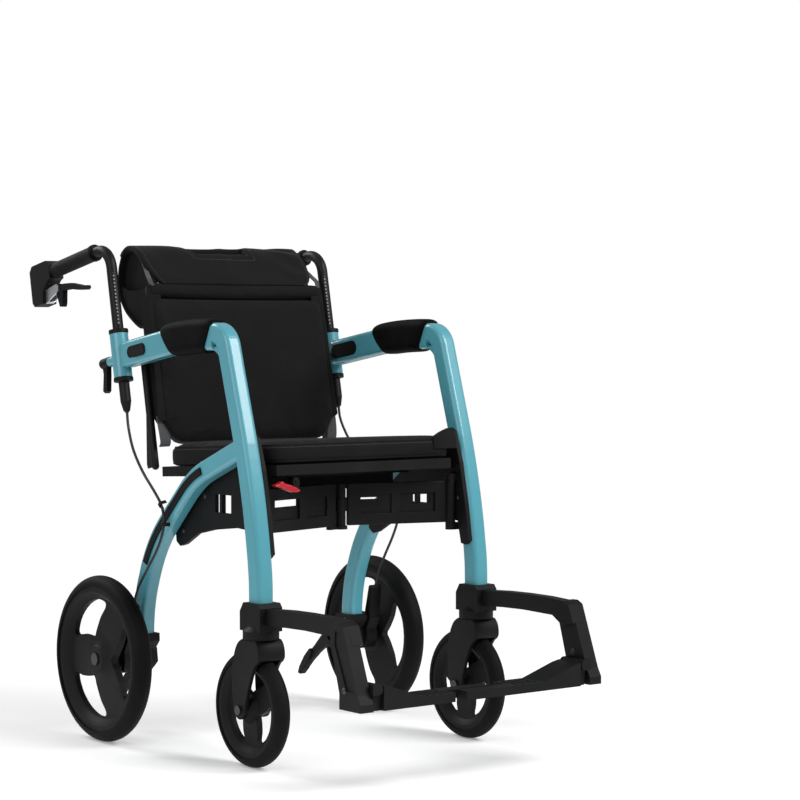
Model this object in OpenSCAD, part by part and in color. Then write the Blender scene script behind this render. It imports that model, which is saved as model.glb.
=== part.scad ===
// Rollator that turns into a transport chair: two bent side frames joined by a folding
// panel pair under the seat, with swivelling handles, a clip-on back and two footrests.
// Units are millimetres, +Z up, -Y is where the sitter faces. In the side views below a
// point is [y, z] with y counted from the rear axle. Side pieces are drawn for +X (the
// sitter's left) and mirrored for the right.

/* [Side frames] */
// Distance from the middle to the centre plane of each side frame
frame_x = 236; // [225:1:250]
// Width of the frame tube across the chair
tube_w = 32; // [28:1:36]
// Corner radius of the frame tube
tube_corner = 9; // [6:0.5:11]
// Depth of the tube along the armrest
rail_depth = 48; // [42:1:52]
// Depth of the tube down the front leg
leg_depth = 37; // [34:1:40]
// Depth of the rear arch tube
arch_depth = 36; // [30:1:40]

/* [Rear wheels] */
// Radius over the rear tyre
rear_r = 150; // [140:1:155]
// Distance from the middle to the centre of a rear wheel
rear_x = 306; // [304:1:312]
// Width of the rear tyre
rear_tyre_w = 38; // [32:1:40]
// Radius of the rear axle
axle_r = 6; // [5:0.5:7]

/* [Casters] */
// Radius over the caster tyre
caster_r = 100; // [90:1:102]
// Width of the caster tyre
caster_tyre_w = 32; // [26:1:36]
// How far the caster wheel trails behind its stem
caster_trail = 26; // [20:1:34]
// Radius of the caster stem
stem_r = 7; // [6:0.5:8]
// Radius of the caster axle bolt
bolt_r = 4; // [3:0.5:5]

/* [Handles] */
// Distance from the middle to a handle tube
handle_x = 239.5; // [238:0.5:244]
// How far the handle tubes lean back, in degrees
handle_lean = 11.2; // [8:0.2:14]
// Radius of the handle tube
handle_r = 10; // [9:0.5:11]
// Height of the grip axis above the middle of the clamp, along the tube
grip_rise = 201; // [180:1:220]
// Radius of the rubber grip
grip_r = 14.5; // [13:0.5:16]
// Length of the rubber grip
grip_len = 151; // [130:1:160]

/* [Seat and back] */
// Half the width of the seat cushion
cushion_half = 211; // [200:1:211]
// Depth of the seat cushion from front to back
cushion_depth = 362; // [340:1:366]
// Thickness of the seat cushion
cushion_t = 42; // [34:1:50]
// Thickness of the seat board
board_t = 18; // [14:1:20]
// How far the seat slopes down to the back, in degrees
seat_slope = 3; // [0:0.5:5]
// Half the width of the back cushion
back_half = 192; // [180:1:192.5]

/* [Footrests] */
// Thickness of the footrest strut across the chair
strut_w = 26; // [20:1:28]
// Thickness of the footplate at its thin end
plate_t = 15; // [10:1:18]
// Depth of the footplate from front to back
plate_depth = 57; // [50:1:66]

/* [Fits] */
// Radial clearance of a running fit
run_gap = 0.05; // [0.02:0.01:0.1]
// Clearance between pieces that move past each other
free_gap = 0.3; // [0.2:0.1:0.6]
// Gap left between pieces that are seated on each other
seat_gap = 0.05; // [0.02:0.01:0.1]

/* [Hidden] */
$fn = 48;
blue = "#4f9fae";
black = "#1d1d1f";
rubber = "#2a2a2b";
cloth = "#232325";
silver = "#b9bcc0";
red = "#c2182b";

// Places taken from the sizes above
frame_in = frame_x - tube_w / 2;
frame_out = frame_x + tube_w / 2;
rear_rim_r = rear_r - rear_tyre_w / 2;
caster_rim_r = caster_r - caster_tyre_w / 2;
front_reach = 712;
housing_t = 279;
clamp_y = 45.2;
clamp_z = 700;
rear_reach = clamp_y + housing_t * cos(handle_lean) + (grip_rise + 11) * sin(handle_lean);
axle_y = (front_reach - rear_reach) / 2;

// Side view of the frame as tube bends: ["s", length] runs straight and ["b", radius, turn]
// bends to the left, with headings counted from +y towards +z
rail_start = [20, 699];
rail_heading = 171;
rail_bends = [["s", 140], ["b", 800, 7], ["s", 60]];
corner_r = 34;
leg_bends = [["b", corner_r, 75], ["s", 150], ["b", 1300, 9], ["s", 20], ["b", 400, 8], ["s", 12]];
arch_start = [-352, 541];
arch_heading = -21;
arch_bends = [["s", 118], ["b", 200, -22], ["s", 86], ["b", 260, -25], ["s", 16], ["b", 262, -22]];
arch_step = 2;

// Where a run of bends ends, as [place, heading]
function ahead(h) = [cos(h), sin(h)];
function leftward(h) = [-sin(h), cos(h)];
function walk(bends, n, p, h, i = 0) = i >= n ? [p, h] : let (q = bends[i])
    q[0] == "s" ? walk(bends, n, p + q[1] * ahead(h), h, i + 1)
    : walk(bends, n, p + sign(q[2]) * q[1] * (leftward(h) - leftward(h + q[2])), h + q[2], i + 1);
rail_end = walk(rail_bends, len(rail_bends), rail_start, rail_heading);
leg_start = rail_end[0] - 1.5 * ahead(rail_end[1]) - (rail_depth - leg_depth) / 2 * leftward(rail_end[1]);
leg_end = walk(leg_bends, len(leg_bends), leg_start, rail_end[1]);
arch_end = walk(arch_bends, len(arch_bends), arch_start, arch_heading);
arch_foot_y = arch_end[0].x;
arch_foot_z = arch_end[0].y - seat_gap;
stem_y = leg_end[0].x;
leg_foot_z = leg_end[0].y - seat_gap;

// A smooth curve through points, with n steps between each two
function between(a, b, c, d, t) = 0.5 * (2 * b + (c - a) * t + (2 * a - 5 * b + 4 * c - d) * t * t
    + (3 * b - a - 3 * c + d) * t * t * t);
function smooth(p, n) = [for (i = [0:len(p) - 2]) for (k = [0:n - 1])
    between(p[max(i - 1, 0)], p[i], p[i + 1], p[min(i + 2, len(p) - 1)], k / n), p[len(p) - 1]];
function unit(v) = v / norm(v);
function heading(p, i) = unit(p[min(i + 1, len(p) - 1)] - p[max(i - 1, 0)]);

// Skin over rings of equally many points, with flat ends. A hollow ring runs out along one
// wall and back along the other, and its ends are closed by a band between the two.
module loft(rings, hollow = false) {
    n = len(rings[0]);
    m = len(rings);
    band = [for (k = [0:n / 2 - 2]) each [[k, n - 1 - k, k + 1], [k + 1, n - 1 - k, n - 2 - k]]];
    sides = [for (i = [0:m - 2]) for (k = [0:n - 1]) let (j = (k + 1) % n)
        each [[i * n + k, i * n + j, (i + 1) * n + k], [i * n + j, (i + 1) * n + j, (i + 1) * n + k]]];
    ends = hollow ? concat([for (f = band) [f[0], f[1], f[2]]],
        [for (f = band) [f[0] + (m - 1) * n, f[2] + (m - 1) * n, f[1] + (m - 1) * n]])
        : [[for (k = [n - 1:-1:0]) k], [for (k = [0:n - 1]) (m - 1) * n + k]];
    polyhedron([for (r = rings) each r], concat(sides, ends));
}

// Helpers for places and directions
module place() { translate([0, axle_y, 0]) children(); }
module side(s) { if (s == "left") children(); else mirror([1, 0, 0]) children(); }
// Pushes a side-view drawing of [y, z] from x0 to x1
module across(x0, x1) { translate([x0, 0, 0]) rotate([90, 0, 90]) linear_extrude(x1 - x0) children(); }
// Pushes a front-view drawing of [x, z] from y0 to y1
module along(y0, y1) { translate([0, y1, 0]) rotate([90, 0, 0]) linear_extrude(y1 - y0) children(); }
module rod(p, r, h) { translate(p) rotate([0, 90, 0]) cylinder(r = r, h = h); }
module rod_y(p, r, h) { translate(p) rotate([-90, 0, 0]) cylinder(r = r, h = h); }
module block(a, b) { translate(a) cube(b - a); }
// Handle frame: +Z up the tube, +Y backwards along the grip
module lean(x) { translate([x, clamp_y, clamp_z]) rotate([-handle_lean, 0, 0]) children(); }

// Draws bends first to last of a run, with the tube's section as a child: x is to the left, y across.
// A straight piece is drawn slimmer by $slim and bites into the bends beside it.
bite = 1.5;
slim = 0.05;
module bent(bends, p, h, first, last) {
    for (i = [first:last]) {
        at = walk(bends, i, p, h);
        q = bends[i];
        lead = i > first ? bite : 0;
        tail = i < last ? bite : 0;
        $slim = q[0] == "s" ? slim : 0;
        translate([frame_x, at[0].x, at[0].y]) rotate([at[1], 0, 0])
            multmatrix([[0, 1, 0, 0], [0, 0, 1, 0], [1, 0, 0, 0], [0, 0, 0, 1]])
            if (q[0] == "s") translate([0, 0, -lead]) linear_extrude(q[1] + lead + tail) children();
            else mirror([q[2] < 0 ? 1 : 0, 0, 0]) translate([q[1], 0, 0]) rotate([90, 0, 0]) rotate(180 - abs(q[2]))
                rotate_extrude(angle = abs(q[2]), $fn = 180) translate([q[1], 0]) mirror([0, 1])
                mirror([q[2] < 0 ? 0 : 1, 0]) children();
    }
}
module rounded(d, w, r) {
    square([d - 2 * r, w], center = true);
    square([d, w - 2 * r], center = true);
    for (i = [-1, 1], k = [-1, 1]) translate([i * (d / 2 - r), k * (w / 2 - r)]) circle(r, $fn = 24);
}
module tube(d, w, r) { rounded(d - 2 * $slim, w - 2 * $slim, r); }

// Side frame: one bent tube for armrest and front leg, and the rear arch welded to it
module side_frame() {
    color(blue) {
        bent(rail_bends, rail_start, rail_heading, 0, 2) tube(rail_depth, tube_w, tube_corner);
        bent(leg_bends, leg_start, rail_end[1], 0, 5) tube(leg_depth, tube_w, tube_corner);
        bent(arch_bends, arch_start, arch_heading, 0, 5)
            tube(arch_depth, tube_w - arch_step, tube_corner - arch_step / 2);
        across(frame_x - 11, frame_x + 11) difference() {
            polygon([[-295, 716], [-267, 713], [-267, 706], [-290, 684], [-301, 688]]);
            translate([-271.1, 682.2]) circle(26.3);
        }
    }
}

// Slot covers: oblong plugs on both faces of the rail, and the arch cover with the brake pivot
plug_len = 44;
plug_h = 17;
cover_t = 3;
cover_h = 13;
pin_r = 4;
module oblong(p, turn) {
    translate(p) rotate(turn) {
        square([plug_len - plug_h, plug_h], center = true);
        for (k = [-1, 1]) translate([k * (plug_len - plug_h) / 2, 0]) circle(plug_h / 2);
    }
}
function arch_at(i, t) = let (q = arch_bends[i])
    walk(concat([for (k = [0:i - 1]) arch_bends[k]], [q[0] == "s" ? ["s", t * q[1]] : ["b", q[1], t * q[2]]]),
        i + 1, arch_start, arch_heading);
function cover_edge(k) = [for (n = k > 0 ? [0:17] : [17:-1:0])
    let (a = arch_at(1 + floor(n / 6), (n % 6) / 6)) a[0] + k * cover_h / 2 * leftward(a[1])];
module slot_covers() {
    color(black) {
        across(frame_out, frame_out + cover_t) oblong([-38, 705.3], -9);
        across(frame_in - cover_t, frame_in) oblong([-38, 705.3], -9);
        across(frame_out - arch_step / 2, frame_out - arch_step / 2 + cover_t)
            polygon(concat(cover_edge(1), cover_edge(-1)));
    }
}

// Armrest pad: a soft saddle moulded over the rail
pad_t = 6;
module pad_section() {
    w = tube_w + 2 * free_gap;
    d = rail_depth + 2 * free_gap;
    difference() {
        tube(d + 2 * pad_t, w + 2 * pad_t, tube_corner + pad_t);
        rounded(d + 2 * $slim, w + 2 * $slim, tube_corner);
        translate([rail_depth / 2 - 3, -w]) square([20, 2 * w]);
    }
}
module armrest_pad() {
    back = walk(rail_bends, 1, rail_start, rail_heading)[0];
    color(rubber) difference() {
        bent(rail_bends, rail_start, rail_heading, 1, 2) pad_section();
        across(frame_x - tube_w, frame_x + tube_w)
            polygon([back + [8, 6], back + [-36, -40], back + [8, -60]]);
        across(frame_x - tube_w, frame_x + tube_w)
            polygon([rail_end[0] + [-8, -12], rail_end[0] + [14, -40], rail_end[0] + [-8, -40]]);
    }
}

// Gusset: the moulded plate between leg and arch that carries the fold hinge and the seat
gusset_t = 8;
fold_x = 205;
fold_y = -366;
mid_y = -309;
fold_lo = 395;
fold_hi = 470;
knuckle_r = 9;
lug_h = 13;
seat_x = 195;
seat_y = -306;
seat_z = 497;
seat_lug_in = 44;
seat_lug_t = 12;
board_under = -6;
ledge_t = 8;
module seat_frame() { translate([seat_x, seat_y, seat_z]) rotate([-seat_slope, 0, 0]) children(); }
module gusset(s) {
    color(black) {
        difference() {
            across(frame_in - gusset_t, frame_in) difference() {
                polygon([[-410, 364], [-400, 356], [-388, 358], [-378, 398], [-308, 402], [-233, 394],
                    [-182, 384], [-140, 362], [-124, 358], [-112, 366], [-110, 380], [-130, 412], [-170, 449],
                    [-211, 480], [-250, 500], [-305, 508], [-330, 520], [-346, 560], [-356, 566],
                    [-366, 560], [-384, 505], [-400, 430]]);
                for (w = [[-252, -238], [-288, -260]])
                    translate([w[0], 425]) square([w[1] - w[0], 32]);
            }
            translate([fold_x, fold_y, fold_lo - free_gap])
                cylinder(r = knuckle_r + free_gap, h = fold_hi - fold_lo + 2 * free_gap);
        }
        for (z = [[fold_lo - free_gap - lug_h, fold_lo - free_gap], [fold_hi + free_gap, fold_hi + free_gap + lug_h]]) {
            translate([fold_x, fold_y, z[0]]) cylinder(r = knuckle_r, h = z[1] - z[0]);
            block([fold_x, fold_y - knuckle_r, z[0]], [frame_in - 1, fold_y + knuckle_r, z[1]]);
        }
        translate([fold_x, fold_y, fold_lo - lug_h]) cylinder(r = pin_r, h = fold_hi - fold_lo + 2 * lug_h);
        if (s == "left") seat_frame() {
            for (k = [-1, 1]) {
                a = k > 0 ? seat_lug_in : -seat_lug_in - seat_lug_t;
                rod_y([0, a, 0], 8, seat_lug_t);
                block([0, a, -8], [frame_in - 1 - seat_x, a + seat_lug_t, 8]);
            }
            rod_y([0, -seat_lug_in - seat_lug_t, 0], pin_r, 2 * (seat_lug_in + seat_lug_t));
        }
        else seat_frame()
            block([-8, -40, board_under - free_gap - ledge_t], [frame_in - 1 - seat_x, 30, board_under - free_gap]);
    }
}

// Caster housing: the block under the front leg that the fork turns in
housing_w = 46;
housing_d = 60;
flange_r = 31;
flange_z = 222.3;
flange_t = 13.7;
module caster_housing() {
    color(black) difference() {
        union() {
            across(frame_x - housing_w / 2, frame_x + housing_w / 2)
                translate([stem_y, 0]) polygon([[-housing_d / 2, flange_z + flange_t], [housing_d / 2, flange_z + flange_t],
                    [housing_d / 2, 268], [20, leg_foot_z], [-24, leg_foot_z], [-housing_d / 2, 276]]);
            translate([frame_x, stem_y, flange_z]) cylinder(r = flange_r, h = flange_t);
            translate([frame_x, stem_y, flange_z + flange_t]) cylinder(r1 = flange_r, r2 = housing_w / 2, h = 8);
        }
        translate([frame_x, stem_y, flange_z - 1]) cylinder(r = stem_r + run_gap, h = 50);
    }
}

// Caster fork: crown, two raked legs and the stem in one casting
crown_t = 15;
fork_t = 7;
hub_half = 20;
fork_gap = 0.5;
module caster_fork() {
    y = stem_y + caster_trail;
    top = flange_z - free_gap;
    reach = hub_half + fork_gap;
    color(black) difference() {
        union() {
            for (k = [-1, 1]) across(frame_x + (k > 0 ? reach : -reach - fork_t), frame_x + (k > 0 ? reach + fork_t : -reach)) {
                polygon([[stem_y - 24, top], [stem_y + 22, top], [y + 13, caster_r + 6], [y - 13, caster_r - 6]]);
                translate([y, caster_r]) circle(14);
            }
            intersection() {
                across(frame_x - reach - fork_t, frame_x + reach + fork_t)
                    polygon([[stem_y - 24, top], [stem_y + 22, top], [stem_y + 26, top - crown_t + 2],
                        [stem_y + 20, top - crown_t], [stem_y - 18, top - crown_t]]);
                translate([frame_x, stem_y, top - crown_t - 1]) cylinder(r = 33, h = crown_t + 2);
            }
            translate([frame_x, stem_y, top - 2]) cylinder(r = stem_r, h = 48);
        }
        rod([frame_x - 40, y, caster_r], bolt_r + run_gap, 80);
    }
}

// Caster axle: a bolt with a flat head and a nut
module caster_axle() {
    y = stem_y + caster_trail;
    end = hub_half + fork_gap + fork_t;
    color(silver) {
        rod([frame_x - end - 3, y, caster_r], bolt_r, 2 * end + 6);
        rod([frame_x - end - 4, y, caster_r], 8, 4);
        rod([frame_x + end, y, caster_r], 8, 4);
    }
}

// Wheel centre on its own Z axis: dished web with three rounded openings, and a drum on the -Z side
function closed(p, n) = let (m = len(p)) [for (i = [0:m - 1]) for (k = [0:n - 1])
    between(p[(i + m - 1) % m], p[i], p[(i + 1) % m], p[(i + 2) % m], k / n)];
opening = [[0, 0.36], [16, 0.48], [30, 0.7], [39, 0.88], [36, 0.97], [20, 1], [0, 1], [-20, 1], [-36, 0.97], [-39, 0.88],
    [-30, 0.7], [-16, 0.48]];
module spoked_rim(rim_r, bead, hub_r, drum_r, hub_in, hub_out, bore_r, web_t) {
    lip = rim_r - bead * 0.6;
    reach = lip - 4;
    difference() {
        rotate_extrude($fn = 96) polygon([[bore_r, -hub_in], [drum_r, -hub_in], [drum_r, -web_t / 2 - 3],
            [drum_r + 8, -web_t / 2], [lip - 2, -web_t / 2], [lip, -bead * 0.3], [rim_r - bead * 0.3, -bead / 2],
            [rim_r - run_gap, -bead / 2], [rim_r - run_gap, bead / 2], [rim_r - bead * 0.3, bead / 2], [lip, bead * 0.25],
            [lip - 3, web_t / 2 - 4], [hub_r * 1.5, web_t / 2], [hub_r, hub_out - 3], [hub_r - 3, hub_out], [bore_r, hub_out]]);
        for (k = [0:2]) rotate(120 * k + 90) translate([0, 0, -bead])
            linear_extrude(2 * bead) polygon(closed([for (q = opening) reach * q[1] * [cos(q[0]), sin(q[0])]], 3));
    }
}
module half_round_tyre(rim_r, w) {
    rotate_extrude($fn = 96) intersection() {
        translate([rim_r, 0]) circle(w / 2);
        translate([rim_r, -w]) square(2 * w);
    }
}
module at_caster() { translate([frame_x, stem_y + caster_trail, caster_r]) rotate([0, 90, 0]) children(); }
module caster_rim() {
    color(black) at_caster()
        spoked_rim(caster_rim_r, caster_tyre_w - 4, 17, 13, hub_half, hub_half, bolt_r + run_gap, 12);
}
module caster_tyre() { color(rubber) at_caster() half_round_tyre(caster_rim_r, caster_tyre_w); }

// Rear bracket: takes the foot of the arch and the axle
bracket_in = 214;
bracket_out = 256;
bracket_r = 32;
brake_y = -40;
brake_up = 36;
shoe_in = bracket_out + 5;
shoe_w = 24;
module rear_bracket() {
    color(black) difference() {
        union() {
            rod([bracket_in, 0, rear_r], bracket_r, bracket_out - bracket_in);
            across(bracket_in + 1, bracket_out - 1) translate([0, rear_r]) {
                polygon([[arch_foot_y - arch_depth / 2 - 3, arch_foot_z - rear_r], [arch_foot_y + arch_depth / 2 + 3, arch_foot_z - rear_r],
                    [bracket_r * 0.8, 12], [0, -16], [-bracket_r * 0.8, 6], [brake_y - 7, brake_up - 6]]);
                translate([brake_y, brake_up]) circle(7);
            }
            rod([bracket_out - 2, brake_y, rear_r + brake_up], pin_r, shoe_in + shoe_w + 4 - bracket_out);
        }
        rod([bracket_in - 1, 0, rear_r], axle_r + run_gap, bracket_out - bracket_in + 2);
    }
}
hub_face = 16;
drum_r = 30;
module rear_axle() {
    color(silver) {
        rod([bracket_in - 4, 0, rear_r], axle_r, rear_x + hub_face + 2 - bracket_in + 4);
        rod([bracket_in - 6, 0, rear_r], axle_r + 4, 6);
        rod([rear_x + hub_face + free_gap, 0, rear_r], axle_r + 5, 2.5);
    }
}
module at_rear() { translate([rear_x, 0, rear_r]) rotate([0, 90, 0]) children(); }
module rear_rim() {
    color(black) at_rear() spoked_rim(rear_rim_r, rear_tyre_w - 6, 26, drum_r, rear_x - bracket_out - free_gap,
        hub_face, axle_r + run_gap, 14);
}
module rear_tyre() { color(rubber) at_rear() half_round_tyre(rear_rim_r, rear_tyre_w); }

// Kerb lever: a foot pedal on the inner face of the rear bracket
pedal_w = 36;
pedal_t = 12;
module kerb_lever() {
    color(black) {
        across(bracket_in - pedal_t, bracket_in) translate([0, rear_r]) difference() {
            polygon([[-18, 14], [14, 20], [30, -4], [98, -54], [116, -78], [106, -90], [84, -84], [-6, -26], [-22, -12]]);
            circle(axle_r + 4 + free_gap);
        }
        across(bracket_in - pedal_w, bracket_in) translate([0, rear_r])
            polygon([[84, -58], [98, -54], [116, -78], [106, -90], [92, -86]]);
    }
}

// Brake arm: swings on the bracket's pin, with the cable at its tip and a shoe in front of the drum
shoe_gap = 2.5;
shoe_t = 9;
brake_tip = [-50, 94];
module brake_arm() {
    near = drum_r + shoe_gap;
    far = near + shoe_t;
    color(black) translate([0, 0, rear_r]) difference() {
        union() {
            across(shoe_in, shoe_in + shoe_w) polygon(concat(
                [for (a = [180:-30:0]) brake_tip + 5 * [cos(a), sin(a)]],
                [[brake_y + 9, brake_up + 2], [brake_y + 11, brake_up - 8]],
                [for (a = [140:7.5:215]) near * [cos(a), sin(a)]],
                [for (a = [215:-7.5:162.5]) far * [cos(a), sin(a)]],
                [[brake_y - 9, brake_up - 2]]));
            rod([shoe_in, brake_y, brake_up], 10, shoe_w);
        }
        rod([shoe_in - 5, brake_y, brake_up], pin_r + run_gap, shoe_w + 10);
    }
}

// Brake cable: from the foot of the handle tube to the arch cover and on to the brake arm
cable_r = 2.5;
cable_line = [[240, 23, 592], [241, 17, 566], [246, -8, 526], [253, -52, 488], [259, -98, 458],
    [262, -128, 434], [263, -139, 408], [264, -134, 380], [266, -116, 348], [269, -90, 314], [272, -66, 280],
    [273, brake_tip.x - 2.4, rear_r + brake_tip.y + 4.8]];
module brake_cable() {
    line = smooth(cable_line, 3);
    color(black) loft([for (i = [0:len(line) - 1])
        let (t = heading(line, i), a = unit(cross([1, 0, 0], t)), b = cross(t, a))
        [for (q = [0:7]) line[i] + cable_r * (a * cos(45 * q) + b * sin(45 * q))]]);
}

// Handle clamp: the leaning socket at the back of the rail, with a boss for its lever
clamp_r = 17;
bush_r = 13;
clamp_lo = -44;
clamp_hi = 37;
lever_w = -8;
boss_t = 40;
pad_x = 21.5;
module handle_clamp() {
    color(blue) difference() {
        union() {
            lean(handle_x) {
                translate([0, 0, clamp_lo]) cylinder(r = clamp_r, h = clamp_hi - clamp_lo);
                block([-pad_x, -10, -22], [-10, 10, 2]);
                rod_y([0, 10, lever_w], 9, boss_t - 10);
            }
            translate([frame_x, rail_start.x, rail_start.y]) rotate([rail_heading - 180, 0, 0])
                block([-13, 0, -21], [13, clamp_y - rail_start.x, 21]);
        }
        lean(handle_x) {
            translate([0, 0, clamp_lo - 20]) cylinder(r = bush_r + run_gap, h = clamp_hi - clamp_lo + 40);
            rod_y([0, 0, lever_w], pin_r + run_gap, boss_t + 1);
        }
    }
}

// Swivel bush: turns in the clamp and keeps the handle tube from turning by itself
bush_flange = 7.7;
module swivel_bush() {
    color(black) lean(handle_x) difference() {
        union() {
            translate([0, 0, clamp_lo - free_gap]) cylinder(r = bush_r, h = clamp_hi - clamp_lo + 2 * free_gap);
            translate([0, 0, clamp_hi + free_gap]) cylinder(r = clamp_r + 1, h = bush_flange);
            translate([0, 0, clamp_lo - free_gap - bush_flange]) cylinder(r = clamp_r + 1, h = bush_flange);
        }
        translate([0, 0, clamp_lo - 20]) cylinder(r = handle_r + run_gap, h = clamp_hi - clamp_lo + 40);
    }
}

// Handle tube: straight in the clamp, bent back under the grip
bend_r = 40;
tip_w = -107;
taper_w = -89;
grip_start = 52;
tube_end = grip_start + grip_len + 40;
module handle_tube() {
    color(black) lean(handle_x) {
        translate([0, 0, tip_w]) cylinder(r1 = 6, r2 = handle_r, h = taper_w - tip_w);
        translate([0, 0, taper_w]) cylinder(r = handle_r, h = grip_rise - bend_r - taper_w);
        translate([0, bend_r, grip_rise - bend_r]) rotate([90, 0, 90]) rotate(90)
            rotate_extrude(angle = 90) translate([bend_r, 0]) circle(handle_r);
        rod_y([0, bend_r, grip_rise], handle_r, tube_end - bend_r);
    }
}
module handle_grip() {
    color(rubber) lean(handle_x) difference() {
        union() {
            rod_y([0, grip_start, grip_rise], grip_r, grip_len);
            rod_y([0, grip_start, grip_rise], grip_r + 1.5, 5);
        }
        rod_y([0, grip_start - 1, grip_rise], handle_r + run_gap, grip_len + 2);
    }
}

// Lever housing: the drop-shaped moulding at the end of the grip
shell_w = 15;
module lever_housing() {
    a = grip_start + grip_len + free_gap;
    color(black) lean(handle_x) difference() {
        across(-shell_w, shell_w) translate([0, grip_rise]) polygon([[a, 15], [a + 12, 21], [housing_t - 10, 21], [housing_t, 11],
            [housing_t, -50], [housing_t - 7, -58], [housing_t - 39, -58], [housing_t - 44, -32], [a + 10, -18], [a, -15]]);
        rod_y([0, a - 1, grip_rise], handle_r + run_gap, tube_end - a + 2);
    }
}

// Lever bracket: a light-alloy fork that holds the lever's pin
pivot_t = 196;
pivot_w = -37;
lever_half = 5.5;
bracket_plate = 2.5;
module lever_bracket() {
    color(silver) lean(handle_x) translate([0, 0, grip_rise]) {
        for (k = [-1, 1]) {
            x = k > 0 ? lever_half + free_gap : -lever_half - free_gap - bracket_plate;
            across(x, x + bracket_plate) {
                translate([pivot_t, pivot_w]) circle(8);
                polygon([[pivot_t, pivot_w + 8], [pivot_t, pivot_w - 8], [housing_t - 46, -56], [housing_t - 40, -58], [housing_t - 44.3, -32.5]]);
            }
        }
        across(-lever_half - 1, lever_half + 1) polygon([[housing_t - 51, -57], [housing_t - 40, -58], [housing_t - 44.3, -32.5], [housing_t - 50, -34]]);
        rod([-lever_half - 3, pivot_t, pivot_w], 3, 2 * lever_half + 6);
    }
}

// Brake lever: a curved blade in front of its pin and a short tail below it
module brake_lever() {
    color(black) lean(handle_x) translate([0, 0, grip_rise]) difference() {
        across(-lever_half, lever_half) {
            translate([pivot_t, pivot_w]) circle(9);
            polygon([[pivot_t + 4, pivot_w + 7], [170, -33], [146, -37], [118, -46], [98, -53], [90, -53], [88, -58], [94, -61],
                [120, -56], [150, -48], [176, -45], [182, -70], [186, -75], [194, -73], [pivot_t + 7, pivot_w - 4]]);
        }
        rod([-20, pivot_t, pivot_w], 3 + run_gap, 40);
    }
}

// Clamp lever: a threaded stud with a hub and a hanging arm
module clamp_lever() {
    color(black) lean(handle_x) translate([0, 0, lever_w]) {
        rod_y([0, clamp_r + 3, 0], pin_r, boss_t - clamp_r);
        rod_y([0, boss_t + free_gap, 0], 10, 24);
        across(-5, 5) polygon([[boss_t + 4, 4], [boss_t + 22, 4], [boss_t + 20, -20], [boss_t + 28, -50], [boss_t + 22, -55],
            [boss_t + 15, -52], [boss_t + 8, -22]]);
    }
}

// Footrest: an arm from the caster housing and a ribbed strut down to the plate
plate_hx = 222;
plate_hz = 172;
plate_lo = plate_hz - 35;
plate_front = -front_reach;
plate_back = plate_front + plate_depth;
plate_lug = 8;
strut_in = plate_hx + 10;
knee_y = plate_front + 48;
module footrest() {
    color(black) {
        across(strut_in - 7, strut_in + 15) polygon([[stem_y - housing_d / 2 - seat_gap, 275], [-490, 278], [-545, 279],
            [knee_y + 64, 278.5], [knee_y + 14, 276], [knee_y, 270], [knee_y - 12, 240], [knee_y + 14, 232], [knee_y + 42, 249],
            [-545, 251], [-490, 250], [stem_y - housing_d / 2 - seat_gap, 247]]);
        difference() {
            across(strut_in, strut_in + strut_w) polygon([[knee_y + 24, 276], [knee_y + 12, 276], [knee_y, 270],
                [plate_front + 8, plate_hz - 8], [plate_front, plate_hz - 22], [plate_front, plate_lo], [plate_back, plate_lo],
                [plate_back, plate_hz - 10], [knee_y + 32, 240], [knee_y + 36, 262]]);
            across(strut_in + strut_w - 2, strut_in + strut_w + 1) polygon([[knee_y + 20, 262], [knee_y + 8, 260],
                [plate_front + 18, plate_hz - 4], [plate_front + 38, plate_hz - 4], [knee_y + 22, 240]]);
        }
        for (y = [plate_front, plate_back - plate_lug]) {
            rod_y([plate_hx, y, plate_hz], knuckle_r, plate_lug);
            block([plate_hx, y, plate_hz - knuckle_r], [strut_in + 1, y + plate_lug, plate_hz + knuckle_r]);
        }
        rod_y([plate_hx, plate_front, plate_hz], pin_r, plate_depth);
    }
}

// Footplate: a wedge at the hinge that thins to a flat tread, with a tongue beside its twin
tongue_gap = 5;
module footplate(s) {
    half = (plate_depth - tongue_gap) / 2;
    tread = plate_lo + plate_t;
    body_end = 64;
    lead = s == "left";
    tongue = lead ? -40 : -33;
    top = [[plate_hx - 11, plate_hz + 5], [plate_hx - 26, plate_hz + 2], [128, tread]];
    color(black) difference() {
        union() {
            along(plate_front, plate_back) polygon(concat([[plate_hx - 11, plate_lo]], top, [[body_end, tread], [body_end, plate_lo]]));
            along(lead ? plate_front : plate_back - half, lead ? plate_front + half : plate_back)
                polygon([[body_end + 1, plate_lo], [body_end + 1, tread], [tongue, tread], [tongue, plate_lo]]);
            along(plate_front + plate_lug + free_gap, plate_back - plate_lug - free_gap) {
                translate([plate_hx, plate_hz]) circle(knuckle_r);
                polygon([[plate_hx - 12, plate_lo], [plate_hx + 4, plate_lo], [plate_hx + 7, plate_hz], [plate_hx, plate_hz + 9], [plate_hx - 12, plate_hz + 5]]);
            }
        }
        rod_y([plate_hx, plate_front - 1, plate_hz], pin_r + run_gap, plate_depth + 2);
        for (k = [0:3]) along(plate_front + 6, plate_back - 6)
            translate([body_end + 8 + 14 * k, tread - 1]) square([5, 2]);
    }
}

// Back upright: a rod beside the back cushion, held on the clamp
upright_r = 7;
upright_x = back_half + free_gap + upright_r;
upright_t = -13;
upright_lo = -212;
upright_hi = 6;
module back_upright() {
    color(black) lean(upright_x) {
        translate([0, upright_t, upright_lo]) cylinder(r = upright_r, h = upright_hi - upright_lo);
        translate([0, upright_t, upright_lo]) sphere(upright_r);
        block([-4, upright_t - 5, -20], [handle_x - pad_x - upright_x, 6, 0]);
    }
}

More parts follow.
